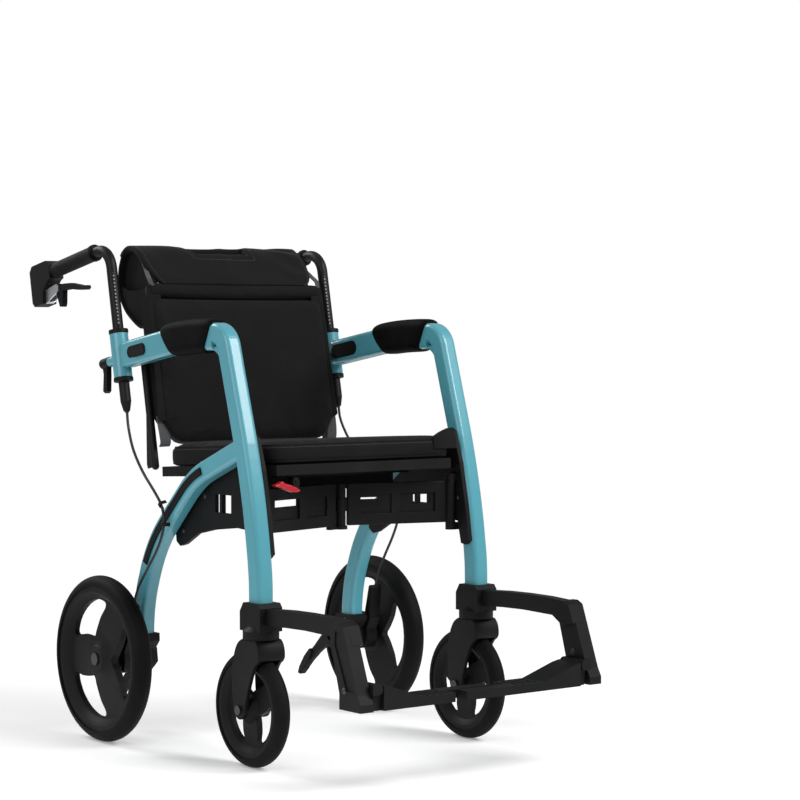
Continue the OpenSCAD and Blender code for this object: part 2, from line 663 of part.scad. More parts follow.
// Seat board: hinged on the left gusset, resting on the right one
board_right = 198;
board_front = -89;
board_back = 276;
module seat_board() {
    w = seat_x + board_right;
    top = board_under + board_t;
    knuckle = seat_lug_in - free_gap;
    color(black) seat_frame() difference() {
        union() {
            block([-w, board_front, board_under], [-12, board_back, top]);
            block([-13, -knuckle, board_under], [0, knuckle, 6]);
            rod_y([0, -knuckle, 0], 8, 2 * knuckle);
            block([-w + 34, board_front + 15, board_under - 17], [-w + 48, board_front + 21, board_under + 1]);
            rod_y([-w + 41, board_front - 1, board_under - 11], 3, 20);
            for (y = [0, 110, 220]) block([-w + 60, y, board_under - 6], [-40, y + 8, board_under + 1]);
        }
        rod_y([0, -100, 0], pin_r + run_gap, 200);
    }
}

// Release lever: the red finger lever under the right front corner of the seat board
module release_lever() {
    w = seat_x + board_right;
    color(red) seat_frame() difference() {
        along(board_front - 1, board_front + 15 - free_gap) translate([-w + 41, board_under - 11]) {
            circle(7);
            polygon([[0, 7], [-44, 5], [-48, 1], [-46, -5], [0, -7]]);
        }
        rod_y([-w + 41, board_front - 5, board_under - 11], 3 + run_gap, 30);
    }
}

// Seat cushion: crowned, with sides that draw in between the corners
function pillow_ring(a, b, z) = [for (k = [0:47]) let (t = 7.5 * k, c = cos(t), s = sin(t))
    [a * sign(c) * pow(abs(c), 0.28) * (1 - 0.012 * (1 - abs(sin(2 * t)))),
     b * sign(s) * pow(abs(s), 0.28) * (1 - 0.012 * (1 - abs(sin(2 * t)))), z]];
module seat_cushion() {
    a = cushion_half;
    b = cushion_depth / 2;
    low = board_under + board_t + free_gap;
    color(cloth) seat_frame() translate([-seat_x, board_front - 4 + b, low])
        loft([for (q = [[10, 0], [2, 0.12], [0, 0.35], [0, 0.62], [4, 0.82], [14, 0.93], [40, 0.98], [90, 1], [150, 1.04]])
            pillow_ring(a - q[0], b - q[0], cushion_t * q[1])]);
}

// Back cushion: a padded panel with two pleats, whose top leans back as a flap and folds over, with a hand grip in the fold.
// At each end a broad strap runs from the fold round to the back of the panel
function back_outline(dip) = [[-44, -166], [-53, -156], [-56, -60], [-56, 0], [-55, 81], [-49, 94], [-55, 101], [-54, 114], [-48, 120],
    [-47, 130], [-36, 152], [-14, 188], [4, 204 - dip], [25, 211 - dip], [44, 206 - dip], [52, 196 - dip], [48, 190 - dip],
    [38, 196 - dip], [25, 200 - dip], [11, 194 - dip], [-4, 179 - dip / 3], [-25, 147], [-36, 126], [-32, 118], [-12, 114], [-8, 96],
    [-8, 40], [-8, -60], [-11, -156], [-20, -166]];
back_ends = 0.08;
strap_w = 24;
strap_line = [[50, 187], [60, 172], [67, 148], [66, 120], [52, 92], [28, 68], [8, 54], [-7.7, 51]];
strap_back = [[-7.7, 46], [11, 49], [32, 64], [57, 90], [71, 119], [71, 149], [64, 175], [54, 190]];
module back_panel() {
    color(cloth) lean(0) {
        loft([for (k = [-1, -0.985, -0.93, -0.8, -0.5, -0.36, -0.3, 0, 0.3, 0.36, 0.5, 0.8, 0.93, 0.985, 1])
            let (e = 1 - back_ends * pow(abs(k), 12), dip = 22 * max(0, 1 - pow(abs(k) / 0.36, 8)))
            [for (p = back_outline(dip)) [back_half * k, -30 + (p.x + 30) * e, 30 + (p.y - 30) * e]]]);
        for (k = [-1, 1]) across(k > 0 ? back_half - strap_w - 6 : 6 - back_half, k > 0 ? back_half - 6 : strap_w + 6 - back_half)
            polygon(concat(strap_line, strap_back));
    }
}

// Fold panel: one half of the folding link between the sides, hinged at gusset and middle
fold_len = norm([fold_x, mid_y - fold_y]);
fold_turn = atan2(mid_y - fold_y, fold_x);
panel_t = 9;
mid_knuckle = 25;
module fold_panel(s) {
    h = fold_hi - fold_lo;
    spans = s == "left" ? [[mid_knuckle + free_gap, h - mid_knuckle - free_gap]] : [[0, mid_knuckle], [h - mid_knuckle, h]];
    color(black) translate([fold_x, fold_y, fold_lo]) rotate(180 - fold_turn) difference() {
        union() {
            cylinder(r = knuckle_r, h = h);
            block([3, 4 - panel_t, 0], [15, 0, h]);
            for (z = [[0, 20], [h - 20, h]]) block([14, -panel_t, z[0]], [fold_len - 14, 0, z[1]]);
            for (x = [[14, 30], [fold_len / 2 - 9, fold_len / 2 + 9], [fold_len - 40, fold_len - 14]])
                block([x[0], -panel_t, 0], [x[1], 0, h]);
            block([fold_len / 2, -panel_t + 3, 0], [fold_len - 14, -3, h]);
            for (z = spans) {
                translate([fold_len, 0, z[0]]) cylinder(r = knuckle_r, h = z[1] - z[0]);
                block([fold_len - 15, -panel_t, z[0]], [fold_len, -knuckle_r + 7, z[1]]);
            }
            if (s == "right") {
                translate([fold_len, 0, -6]) cylinder(r = 12, h = 6);
                block([fold_len - 30, -panel_t, -6], [fold_len, 0, 0]);
            }
        }
        translate([0, 0, -1]) cylinder(r = pin_r + run_gap, h = h + 2);
        if (s == "left") translate([fold_len, 0, -1]) cylinder(r = pin_r + run_gap, h = h + 2);
        translate([fold_len * 0.66, -panel_t - 1, 30]) cube([34, panel_t + 2, h - 56]);
    }
    if (s == "right") color(black) translate([fold_x, fold_y, fold_lo]) rotate(180 - fold_turn)
        translate([fold_len, 0, 0]) cylinder(r = pin_r, h = h);
}

for (s = ["right", "left"]) place() side(s) {
    side_frame();
    slot_covers();
    armrest_pad();
    gusset(s);
    caster_housing();
    caster_fork();
    caster_axle();
    caster_rim();
    caster_tyre();
    rear_bracket();
    rear_axle();
    rear_rim();
    rear_tyre();
    kerb_lever();
    brake_arm();
    brake_cable();
    handle_clamp();
    swivel_bush();
    handle_tube();
    handle_grip();
    lever_housing();
    lever_bracket();
    brake_lever();
    clamp_lever();
    footrest();
    footplate(s);
    back_upright();
    fold_panel(s);
}
place() {
    seat_board();
    seat_cushion();
    back_panel();
    release_lever();
}
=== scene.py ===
import math

import bmesh
import bpy
import numpy as np
from mathutils import Matrix, Vector
from mathutils.bvhtree import BVHTree


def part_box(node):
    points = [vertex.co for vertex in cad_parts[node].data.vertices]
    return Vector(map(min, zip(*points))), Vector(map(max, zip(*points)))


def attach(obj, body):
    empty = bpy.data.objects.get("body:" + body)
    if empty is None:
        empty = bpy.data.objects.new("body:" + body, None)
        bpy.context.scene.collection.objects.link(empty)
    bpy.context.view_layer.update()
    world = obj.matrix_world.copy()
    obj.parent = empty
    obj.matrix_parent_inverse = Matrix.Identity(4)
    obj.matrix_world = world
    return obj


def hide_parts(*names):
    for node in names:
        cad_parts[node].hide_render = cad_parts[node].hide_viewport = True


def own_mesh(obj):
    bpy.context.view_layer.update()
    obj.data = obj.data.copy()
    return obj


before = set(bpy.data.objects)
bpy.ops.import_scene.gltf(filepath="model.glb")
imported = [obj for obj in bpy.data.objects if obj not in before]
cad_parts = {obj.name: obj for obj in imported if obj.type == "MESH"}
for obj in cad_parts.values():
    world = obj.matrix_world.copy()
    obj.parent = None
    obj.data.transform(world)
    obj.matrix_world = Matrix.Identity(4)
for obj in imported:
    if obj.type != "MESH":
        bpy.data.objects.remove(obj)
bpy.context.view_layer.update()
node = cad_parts

# The chair is seen from its right front corner, a little above the armrests, with a long lens
# as in a product picture. Places are counted from the rear axle, which stands this far behind
# the middle of the chair.
axle_y = 0.175968
azimuth = math.radians(-37.83)
elevation = math.radians(1.73)
back = Vector((math.sin(azimuth) * math.cos(elevation), -math.cos(azimuth) * math.cos(elevation),
               math.sin(elevation)))
right = Vector((0, 0, 1)).cross(back).normalized()
turn = Matrix((right, back.cross(right), back)).transposed().to_4x4()


def show(piece):
    """Puts an object in the scene."""
    bpy.context.scene.collection.objects.link(piece)
    return piece


camera = show(bpy.data.objects.new("camera", bpy.data.cameras.new("camera")))
camera.matrix_world = Matrix.Translation((-2.45466, -3.64237 + axle_y, 0.74401)) @ turn
camera.data.lens = 104.77
camera.data.sensor_width = 36
bpy.context.scene.camera = camera

# Each finish is a node material. A Value wraps one shader socket, so that sums and products on
# it add Math nodes, and a Finish makes the nodes and feeds the surface shader.
class Value:
    def __init__(self, finish, socket):
        self.finish = finish
        self.socket = socket

    def join(self, operation, first, second):
        return self.finish.node("ShaderNodeMath", {"operation": operation}, {0: first, 1: second})

    def __add__(self, other):
        return self.join("ADD", self, other)

    def __sub__(self, other):
        return self.join("SUBTRACT", self, other)

    def __mul__(self, other):
        return self.join("MULTIPLY", self, other)

    def __rsub__(self, other):
        return self.join("SUBTRACT", other, self)

    __radd__ = __add__

    def over(self, low, high):
        return self.finish.node("ShaderNodeMapRange", {"interpolation_type": "SMOOTHSTEP"},
                                {"Value": self, "From Min": low, "From Max": high})


class Finish:
    def __init__(self, name, **constants):
        self.material = bpy.data.materials.new(name)
        self.material.use_nodes = True
        self.tree = self.material.node_tree
        self.shader = self.tree.nodes["Principled BSDF"]
        self.feed(self.shader, constants)
        place = self.tree.nodes.new("ShaderNodeTexCoord")
        self.place = Value(self, place.outputs["Object"])

    def feed(self, shader_node, values):
        for name, value in values.items():
            socket = shader_node.inputs[name]
            if isinstance(value, Value):
                self.tree.links.new(value.socket, socket)
            else:
                socket.default_value = value

    def node(self, kind, settings, values, out=0):
        made = self.tree.nodes.new(kind)
        for name, value in settings.items():
            setattr(made, name, value)
        self.feed(made, values)
        return Value(self, made.outputs[out])

    def noise(self, scale, detail, rough=0.5):
        values = {"Vector": self.place, "Scale": scale, "Detail": detail, "Roughness": rough}
        return self.node("ShaderNodeTexNoise", {}, values)

    def mix(self, share, first, second):
        made = self.tree.nodes.new("ShaderNodeMix")
        made.data_type = "RGBA"
        for index, value in ((0, share), (6, first), (7, second)):
            if isinstance(value, Value):
                self.tree.links.new(value.socket, made.inputs[index])
            else:
                made.inputs[index].default_value = value if index == 0 else (*value, 1)
        return Value(self, made.outputs[2])

    def bump(self, height, strength, distance):
        return self.node("ShaderNodeBump", {},
                         {"Height": height, "Strength": strength, "Distance": distance})

    def surface(self, **links):
        names = {"color": "Base Color", "roughness": "Roughness", "normal": "Normal", "coat": "Coat Weight"}
        self.feed(self.shader, {names[name]: value for name, value in links.items()})
        return self.material


# Studio: a white floor that runs into a white room, a wide lamp over the camera's left
# shoulder, a fill from the right and a rim lamp behind, all soft.
floor_mesh = bpy.data.meshes.new("floor")
floor_mesh.from_pydata([(-9, -9, 0), (9, -9, 0), (9, 9, 0), (-9, 9, 0)], [], [(0, 1, 2, 3)])
floor = show(bpy.data.objects.new("floor", floor_mesh))
pale = Finish("pale_floor", Roughness=0.8,
              **{"Specular IOR Level": 0.2, "Emission Color": (1, 1, 1, 1), "Emission Strength": 0.2})
cloud = pale.noise(1.5, 3)
reach = pale.node("ShaderNodeVectorMath", {"operation": "LENGTH"}, {0: pale.place}, 1)
pale.feed(pale.shader, {"Alpha": 1 - reach.over(1.0, 2.3)})
floor_mesh.materials.append(pale.surface(color=pale.mix(cloud, (0.93, 0.93, 0.93), (0.95, 0.95, 0.95))))
world = bpy.data.worlds.new("room")
world.use_nodes = True
room = world.node_tree
sky = room.nodes["Background"]
sky.inputs["Color"].default_value = (1, 1, 1, 1)
sky.inputs["Strength"].default_value = 0.32
wall = room.nodes.new("ShaderNodeBackground")
wall.inputs["Color"].default_value = (1, 1, 1, 1)
wall.inputs["Strength"].default_value = 1.0
ray = room.nodes.new("ShaderNodeLightPath")
either = room.nodes.new("ShaderNodeMixShader")
room.links.new(ray.outputs["Is Camera Ray"], either.inputs["Fac"])
room.links.new(sky.outputs["Background"], either.inputs[1])
room.links.new(wall.outputs["Background"], either.inputs[2])
room.links.new(either.outputs["Shader"], room.nodes["World Output"].inputs["Surface"])
bpy.context.scene.world = world
for name, power, size, place, aim in (
    ("key", 150, 2.2, (1.5, -3.0, 3.2), (0, 0, 0.4)),
    ("fill", 40, 2.4, (-3.2, -0.6, 2.0), (0, 0, 0.5)),
    ("rim", 60, 1.6, (-1.0, 3.0, 2.8), (0, 0, 0.7)),
):
    lamp = bpy.data.lights.new(name, "AREA")
    lamp.energy = power
    lamp.size = size
    holder = show(bpy.data.objects.new(name, lamp))
    holder.location = place
    holder.rotation_euler = (Vector(aim) - Vector(place)).to_track_quat("-Z", "Y").to_euler()
bpy.context.scene.view_settings.view_transform = "Standard"

# Brake cables: a thin black cable leaves the foot of each handle tube, sags to the cover on
# the rear arch and runs on behind it to the brake arm.
cable_route = [(0.240, 0.023, 0.592), (0.241, 0.017, 0.566), (0.246, -0.008, 0.526), (0.253, -0.052, 0.488),
               (0.259, -0.098, 0.458), (0.262, -0.128, 0.434), (0.263, -0.139, 0.408),
               (0.264, -0.134, 0.380), (0.266, -0.116, 0.348), (0.269, -0.090, 0.314),
               (0.272, -0.066, 0.280), (0.273, -0.0524, 0.2488)]
cable_r = 0.0025
sides = (("right", -1), ("left", 1))


def smooth_line(points, steps):
    """A smooth curve through the points, with so many steps from each to the next."""
    line = []
    for i in range(len(points) - 1):
        a, b, c, d = (Vector(points[min(max(i + k, 0), len(points) - 1)]) for k in (-1, 0, 1, 2))
        for k in range(steps):
            t = k / steps
            bend = (2 * a - 5 * b + 4 * c - d) * t * t + (3 * b - a - 3 * c + d) * t ** 3
            line.append(0.5 * (2 * b + (c - a) * t + bend))
    return line + [Vector(points[-1])]


def tube_curve(name, line, radius):
    curve = bpy.data.curves.new(name, "CURVE")
    curve.dimensions = "3D"
    curve.bevel_depth = radius
    curve.bevel_resolution = 4
    curve.use_fill_caps = True
    spline = curve.splines.new("POLY")
    spline.points.add(len(line) - 1)
    for point, place in zip(spline.points, line):
        point.co = (*place, 1)
    return show(bpy.data.objects.new(name, curve))


jacket = Finish("cable_jacket", **{"IOR": 1.5})
grain = jacket.noise(900, 3)
jacket_black = jacket.surface(color=jacket.mix(grain, (0.006, 0.006, 0.0065), (0.014, 0.014, 0.015)),
                              roughness=0.35 + grain * 0.2, normal=jacket.bump(grain, 0.15, 0.0002))
for side, k in sides:
    route = [(k * x, y + axle_y, z) for x, y, z in cable_route]
    line = smooth_line(route, 3)
    cable = tube_curve(side + "_cable", line, cable_r)
    cable.data.materials.append(jacket_black)
    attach(cable, side + "_side")
    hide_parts(side + "_brake_cable")
    length = sum((b - a).length for a, b in zip(line, line[1:]))

# Side frames: bent aluminium tube in a bright sea-blue gloss enamel, the clamp at the back
# welded on and painted with it. The enamel has a slight orange peel and a clear coat.
enamel = Finish("sea_blue_enamel", **{"Coat Roughness": 0.08, "Specular IOR Level": 0.45, "IOR": 1.5})
drift = enamel.noise(3.5, 2)
peel = enamel.noise(420, 1)
fleck = enamel.noise(2600, 1)
blue_tone = enamel.mix(drift.over(0.3, 0.7), (0.078, 0.330, 0.405), (0.092, 0.362, 0.437))
sea_blue = enamel.surface(color=enamel.mix(fleck.over(0.62, 0.75) * 0.12, blue_tone, (0.2, 0.5, 0.56)),
                          roughness=0.27 + drift * 0.06, coat=0.45 + drift * 0.1,
                          normal=enamel.bump(peel, 0.05, 0.0006))


def round_edges(piece, width, segments, degrees):
    """Bevels the edges where faces turn by more than so many degrees."""
    bevel = piece.modifiers.new("round", "BEVEL")
    bevel.width = width
    bevel.segments = segments
    bevel.limit_method = "ANGLE"
    bevel.angle_limit = math.radians(degrees)


def shade(piece, smooth):
    piece.data.polygons.foreach_set("use_smooth", [smooth] * len(piece.data.polygons))


def cover_with(piece, material):
    piece.data.materials.clear()
    piece.data.materials.append(material)


def dress(name, material, edge=0.0):
    """Gives a CAD node its finish, and rounds its edges where edge is a radius."""
    piece = node[name]
    cover_with(piece, material)
    if edge:
        weld = piece.modifiers.new("weld", "WELD")
        weld.merge_threshold = 0.00002
        round_edges(piece, edge, 2, 32)
    shade(piece, False)


for side, k in sides:
    dress(side + "_side_frame", sea_blue)
    dress(side + "_handle_clamp", sea_blue, 0.0012)

# Moulded black parts: glass-filled nylon with a fine spark-eroded grain, a little greyer and
# shinier where edges are handled.
nylon = Finish("black_nylon", **{"IOR": 1.5, "Specular IOR Level": 0.16})
spark = nylon.noise(1700, 3, 0.65)
handling = nylon.noise(9, 4)
nylon_black = nylon.surface(color=nylon.mix(handling.over(0.35, 0.75), (0.0048, 0.0048, 0.0052),
                                            (0.0096, 0.0096, 0.0102)),
                            roughness=0.42 + spark * 0.16 + handling * 0.08,
                            normal=nylon.bump(spark, 0.16, 0.00025))
for side, k in sides:
    for name in ("slot_covers", "gusset", "caster_housing", "rear_bracket", "brake_arm", "swivel_bush",
                 "lever_housing", "brake_lever", "clamp_lever", "footrest", "footplate", "fold_panel"):
        dress(side + "_" + name, nylon_black, 0.0012)
dress("seat_board", nylon_black, 0.0015)

# Axles and bolts: steel plated in black zinc, with fine turning marks.
zinc = Finish("zinc_plate", Metallic=1.0)
marks = zinc.noise(700, 2)
zinc_plate = zinc.surface(color=zinc.mix(marks, (0.055, 0.055, 0.058), (0.11, 0.11, 0.115)),
                          roughness=0.3 + marks * 0.2, normal=zinc.bump(marks, 0.1, 0.0002))
for side, k in sides:
    dress(side + "_caster_axle", zinc_plate, 0.0006)
    dress(side + "_rear_axle", zinc_plate, 0.0006)

# Handle tubes and back uprights: steel tube in black powder coat, which is slightly pebbled. Each
# handle tube has a column of light dots printed on its front, for setting both to one height.
# The tubes lean back through the middle of their clamps.
lean = math.radians(11.2)
clamp_x, clamp_behind, clamp_z = 0.2395, 0.0452, 0.7
dot_pitch = 0.0068
dot_half = 0.0013


def powder_coat(name, marked):
    powder = Finish(name, **{"IOR": 1.5, "Specular IOR Level": 0.22})
    pebble = powder.noise(1300, 2)
    wear = powder.noise(14, 5)
    black = powder.mix(wear.over(0.4, 0.8), (0.005, 0.005, 0.0053), (0.012, 0.012, 0.0125))
    if marked:
        x, y, z = (powder.node("ShaderNodeSeparateXYZ", {}, {"Vector": powder.place}, out=i)
                   for i in range(3))
        aside = x.join("ABSOLUTE", x + 0.0033, 0.0) - clamp_x
        behind, above = y - (axle_y + clamp_behind), z - clamp_z
        up = behind * math.sin(lean) + above * math.cos(lean)
        depth = behind * math.cos(lean) - above * math.sin(lean)
        step = up.join("FRACT", up * (1 / dot_pitch), 0.0)
        beside_row = aside.join("ABSOLUTE", aside, 0.0)
        dot = step.join("LESS_THAN", step, 0.46) * aside.join("LESS_THAN", beside_row, dot_half)
        span = up.join("GREATER_THAN", up, 0.052) * up.join("LESS_THAN", up, 0.150)
        front = depth.join("LESS_THAN", depth, 0.0)
        black = powder.mix(dot * span * front * (0.35 + wear * 0.9), black, (0.36, 0.36, 0.37))
    return powder.surface(color=black, roughness=0.36 + pebble * 0.16,
                          normal=powder.bump(pebble, 0.22, 0.0003))


powder_black = powder_coat("black_powder_coat", False)
marked_black = powder_coat("marked_powder_coat", True)
for side, k in sides:
    dress(side + "_handle_tube", marked_black)
    dress(side + "_back_upright", powder_black)

# Tyres and grips: black rubber, matt, with a dusty bloom. The tyres have shallow ring grooves and
# the grips a fine moulded check.
tread = Finish("tyre_rubber", **{"IOR": 1.5, "Specular IOR Level": 0.12})
grooves = tread.node("ShaderNodeTexWave", {"bands_direction": "X", "wave_profile": "SIN"},
                     {"Vector": tread.place, "Scale": 26.0})
dust = tread.noise(13, 4)
grit = tread.noise(900, 4, 0.6)
tyre_rubber = tread.surface(color=tread.mix(dust.over(0.35, 0.8), (0.0026, 0.0026, 0.0028),
                                            (0.0066, 0.0066, 0.007)), roughness=0.54 + grit * 0.22,
                            normal=tread.bump(grooves.over(0.05, 0.3) + grit * 0.12, 0.5, 0.0008))
hold = Finish("grip_rubber", **{"IOR": 1.5, "Specular IOR Level": 0.16})
checks = hold.node("ShaderNodeTexVoronoi", {"feature": "DISTANCE_TO_EDGE"},
                   {"Vector": hold.place, "Scale": 300.0, "Randomness": 0.15})
palm = hold.noise(14, 4)
grip_rubber = hold.surface(color=hold.mix(palm.over(0.35, 0.8), (0.005, 0.005, 0.0053),
                                          (0.011, 0.011, 0.0115)), roughness=0.6 + palm * 0.15,
                           normal=hold.bump(checks.over(0.02, 0.2), 0.5, 0.0006))
for side, k in sides:
    dress(side + "_handle_grip", grip_rubber)
    dress(side + "_caster_tyre", tyre_rubber)
    dress(side + "_rear_tyre", tyre_rubber)

# Lever brackets: bare die-cast alloy.
alloy = Finish("cast_alloy", Metallic=1.0)
cast = alloy.noise(500, 3)
cast_alloy = alloy.surface(color=alloy.mix(cast, (0.56, 0.57, 0.59), (0.72, 0.73, 0.75)),
                           roughness=0.3 + cast * 0.18, normal=alloy.bump(cast, 0.15, 0.0003))
for side, k in sides:
    dress(side + "_lever_bracket", cast_alloy, 0.0005)

# Armrest pads: soft black foam moulded as a saddle over the rail, fullest on top, with slanting
# ends and a skin grained like leather.
skin = Finish("pad_skin", **{"IOR": 1.45, "Specular IOR Level": 0.06})
pits = skin.node("ShaderNodeTexVoronoi", {"feature": "DISTANCE_TO_EDGE"},
                 {"Vector": skin.place, "Scale": 620.0})
tone = skin.noise(25, 4)
pad_skin = skin.surface(color=skin.mix(tone.over(0.3, 0.75), (0.0028, 0.0028, 0.003),
                                       (0.0065, 0.0065, 0.007)), roughness=0.55 + tone * 0.18,
                        normal=skin.bump(pits.over(0.0, 0.12), 0.3, 0.0003))


def mesh_piece(name, points, faces, material, smooth=True):
    mesh = bpy.data.meshes.new(name)
    mesh.from_pydata([tuple(p) for p in points], [], faces)
    mesh.materials.append(material)
    piece = show(bpy.data.objects.new(name, mesh))
    shade(piece, smooth)
    return piece


def face_outwards(piece):
    """Joins points that lie together and turns every face outwards."""
    work = bmesh.new()
    work.from_mesh(piece.data)
    bmesh.ops.remove_doubles(work, verts=work.verts, dist=0.00001)
    bmesh.ops.recalc_face_normals(work, faces=work.faces)
    work.to_mesh(piece.data)
    work.free()


def skin_over(rings):
    """Quads over rings of equally many points, closed round each ring and open at both ends."""
    n = len(rings[0])
    return [(i * n + k, i * n + (k + 1) % n, (i + 1) * n + (k + 1) % n, (i + 1) * n + k)
            for i in range(len(rings) - 1) for k in range(n)]


def closed_skin(name, rings, material, smooth=True):
    """A closed piece: the skin over the rings, with a cap on each end."""
    n = len(rings[0])
    caps = [tuple(range(n - 1, -1, -1)), tuple(range((len(rings) - 1) * n, len(rings) * n))]
    piece = mesh_piece(name, [p for ring in rings for p in ring], skin_over(rings) + caps, material, smooth)
    face_outwards(piece)
    return piece


rail_x = 0.236
rail_bend_start = Vector((-0.11827, 0.7209))
rail_bend_r = 0.8
rail_bend = math.radians(7)
rail_half = (0.0163, 0.0243)
rail_corner = 0.009


def rail_at(s):
    """Middle of the rail and its upward direction, s metres forward of where the rail starts to bend."""
    first = math.radians(171)
    heading = first + min(max(s, 0) / rail_bend_r, rail_bend)
    arc = min(max(s, 0), rail_bend * rail_bend_r)
    spot = rail_bend_start + rail_bend_r * Vector((math.sin(first + arc / rail_bend_r) - math.sin(first),
                                                   math.cos(first) - math.cos(first + arc / rail_bend_r)))
    spot += (s - arc) * Vector((math.cos(heading), math.sin(heading)))
    return spot, Vector((math.sin(heading), -math.cos(heading)))


wrap = []
flat_u, flat_v = rail_half[0] - rail_corner, rail_half[1] - rail_corner
corner_signs = ((1, 1), (-1, 1), (-1, -1), (1, -1))
for quarter, (sign_u, sign_v) in enumerate(corner_signs):
    for step in range(7):
        angle = math.radians(90 * quarter + 15 * step)
        c, q = math.cos(angle), math.sin(angle)
        wrap.append((sign_u * flat_u + rail_corner * c, sign_v * flat_v + rail_corner * q, c, q))
    next_u, next_v = corner_signs[(quarter + 1) % 4]
    for share in (0.2, 0.4, 0.6, 0.8):
        u = (sign_u + (next_u - sign_u) * share) * flat_u + rail_corner * (c if abs(c) > 0.5 else 0)
        v = (sign_v + (next_v - sign_v) * share) * flat_v + rail_corner * (q if abs(q) > 0.5 else 0)
        wrap.append((u, v, c, q))
pad_rings = 44
for side, k in sides:
    outer_rings, inner_rings = [], []
    for j in range(pad_rings + 1):
        share = j / pad_rings
        outer, inner = [], []
        for u, v, nu, nv in wrap:
            low = min(max((0.0243 - v) / 0.048, 0), 1)
            s = -0.004 + 0.030 * low ** 1.6 + share * (0.162 - 0.024 * low - 0.030 * low ** 1.6)
            spot, up = rail_at(s)
            fullness = (1 - abs(2 * share - 1) ** 7) ** 0.6
            thick = 0.0012 + (0.0050 + 0.0024 * max(nv, 0) - 0.0022 * max(-nv, 0)) * fullness
            for ring, away in ((outer, thick), (inner, 0.0003)):
                x, h = u + nu * away, v + nv * away
                ring.append((k * (rail_x + x), spot.x + up.x * h + axle_y, spot.y + up.y * h))
        outer_rings.append(outer)
        inner_rings.append(inner)
    n = len(wrap)
    half_count = n * (pad_rings + 1)
    faces = skin_over(outer_rings) + [tuple(v + half_count for v in reversed(face))
                                      for face in skin_over(inner_rings)]
    for base in (0, pad_rings * n):
        faces += [(base + i, base + (i + 1) % n, half_count + base + (i + 1) % n, half_count + base + i)
                  for i in range(n)]
    pad = mesh_piece(side + "_arm_pad", [p for ring in outer_rings + inner_rings for p in ring], faces,
                     pad_skin)
    face_outwards(pad)
    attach(pad, side + "_side")
    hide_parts(side + "_armrest_pad")

# Cover cloth of the seat and back: black woven polyester, a plain weave of coarse yarn with a
# faint sheen, rubbed a little greyer on the crowns.
cloth = Finish("woven_cover", **{"Sheen Weight": 0.05, "Sheen Roughness": 0.45, "Specular IOR Level": 0.12})
warp = [cloth.node("ShaderNodeTexWave", {"bands_direction": axis, "wave_profile": "SIN"},
                   {"Vector": cloth.place, "Scale": 260.0, "Distortion": 0.6, "Detail": 1.0,
                    "Detail Scale": 1.5}) for axis in "XYZ"]
rub = cloth.noise(16, 5)
slub = cloth.noise(210, 3)
weave = warp[0] * 0.4 + warp[1] * 0.3 + warp[2] * 0.3
woven = cloth.mix(weave.over(0.2, 0.8) * 0.45 + slub * 0.55, (0.0042, 0.0042, 0.0046),
                  (0.0098, 0.0098, 0.0106))
cover_cloth = cloth.surface(color=cloth.mix(rub.over(0.45, 0.85) * 0.5, woven, (0.0135, 0.0135, 0.0145)),
                            roughness=0.72 + slub * 0.2, normal=cloth.bump(weave, 0.2, 0.0004))


def puff(piece, voxel, cap):
    """Remeshes a closed form and blows it up as cloth, letting no point move further than cap."""
    grid = piece.modifiers.new("grid", "REMESH")
    grid.mode = "VOXEL"
    grid.voxel_size = voxel
    grid.use_smooth_shade = True
    settle(piece)
    if not cap:
        return
    start = np.array([v.co for v in piece.data.vertices])
    blown = piece.modifiers.new("sack", "CLOTH")
    blown.settings.use_pressure = True
    blown.settings.uniform_pressure_force = 4
    blown.settings.quality = 5
    blown.settings.mass = 0.3
    blown.settings.effector_weights.gravity = 0
    blown.collision_settings.use_collision = False
    blown.point_cache.frame_start = 1
    blown.point_cache.frame_end = 20
    for step in range(1, 21):
        bpy.context.scene.frame_set(step)
    settle(piece)
    bpy.context.scene.frame_set(1)
    move = np.array([v.co for v in piece.data.vertices]) - start
    reach = np.linalg.norm(move, axis=1, keepdims=True)
    end = start + move * np.minimum(1, cap / np.maximum(reach, 1e-9))
    piece.data.vertices.foreach_set("co", end.ravel())


def settle(piece):
    """Makes the result of a piece's modifiers its plain mesh."""
    seen = piece.evaluated_get(bpy.context.evaluated_depsgraph_get())
    made = bpy.data.meshes.new_from_object(seen)
    piece.modifiers.clear()
    piece.data = made


def finer(piece):
    """Smooths a soft mesh by one level of subdivision."""
    fuller = piece.modifiers.new("fuller", "SUBSURF")
    fuller.levels = 1
    fuller.render_levels = 1
    settle(piece)
    shade(piece, True)


# Seat cushion: a boxed foam pad in the woven cover, flat below where it lies on the board, with
# piping round its top and bottom edges and a row of stitches beside the upper piping.
seat_turn = math.radians(3)
hinge_x, hinge_ahead, hinge_z = 0.195, 0.306, 0.497


def seat_at(x, y, z):
    """Place on the seat, from the middle of its hinge line: leftwards, backwards and off the board."""
    return Vector((x + hinge_x, axle_y - hinge_ahead + y * math.cos(seat_turn) + z * math.sin(seat_turn),
                   hinge_z - y * math.sin(seat_turn) + z * math.cos(seat_turn)))


def on_seat(point):
    rise = Vector((point[0] - hinge_x, point[1] - axle_y + hinge_ahead, point[2] - hinge_z))
    return Vector((rise.x, rise.y * math.cos(seat_turn) - rise.z * math.sin(seat_turn),
                   rise.y * math.sin(seat_turn) + rise.z * math.cos(seat_turn)))


cushion_mid = (-0.195, 0.0915)
cushion_half = (0.206, 0.179)
cushion_low = 0.0127
cushion_profile = [(0.030, 0.0), (0.008, 0.0), (0.002, 0.0025), (0.0, 0.007), (0.0, 0.028),
                   (0.0022, 0.0325), (0.007, 0.0345), (0.03, 0.0352), (0.08, 0.036)]
cloth_grid = 0.005


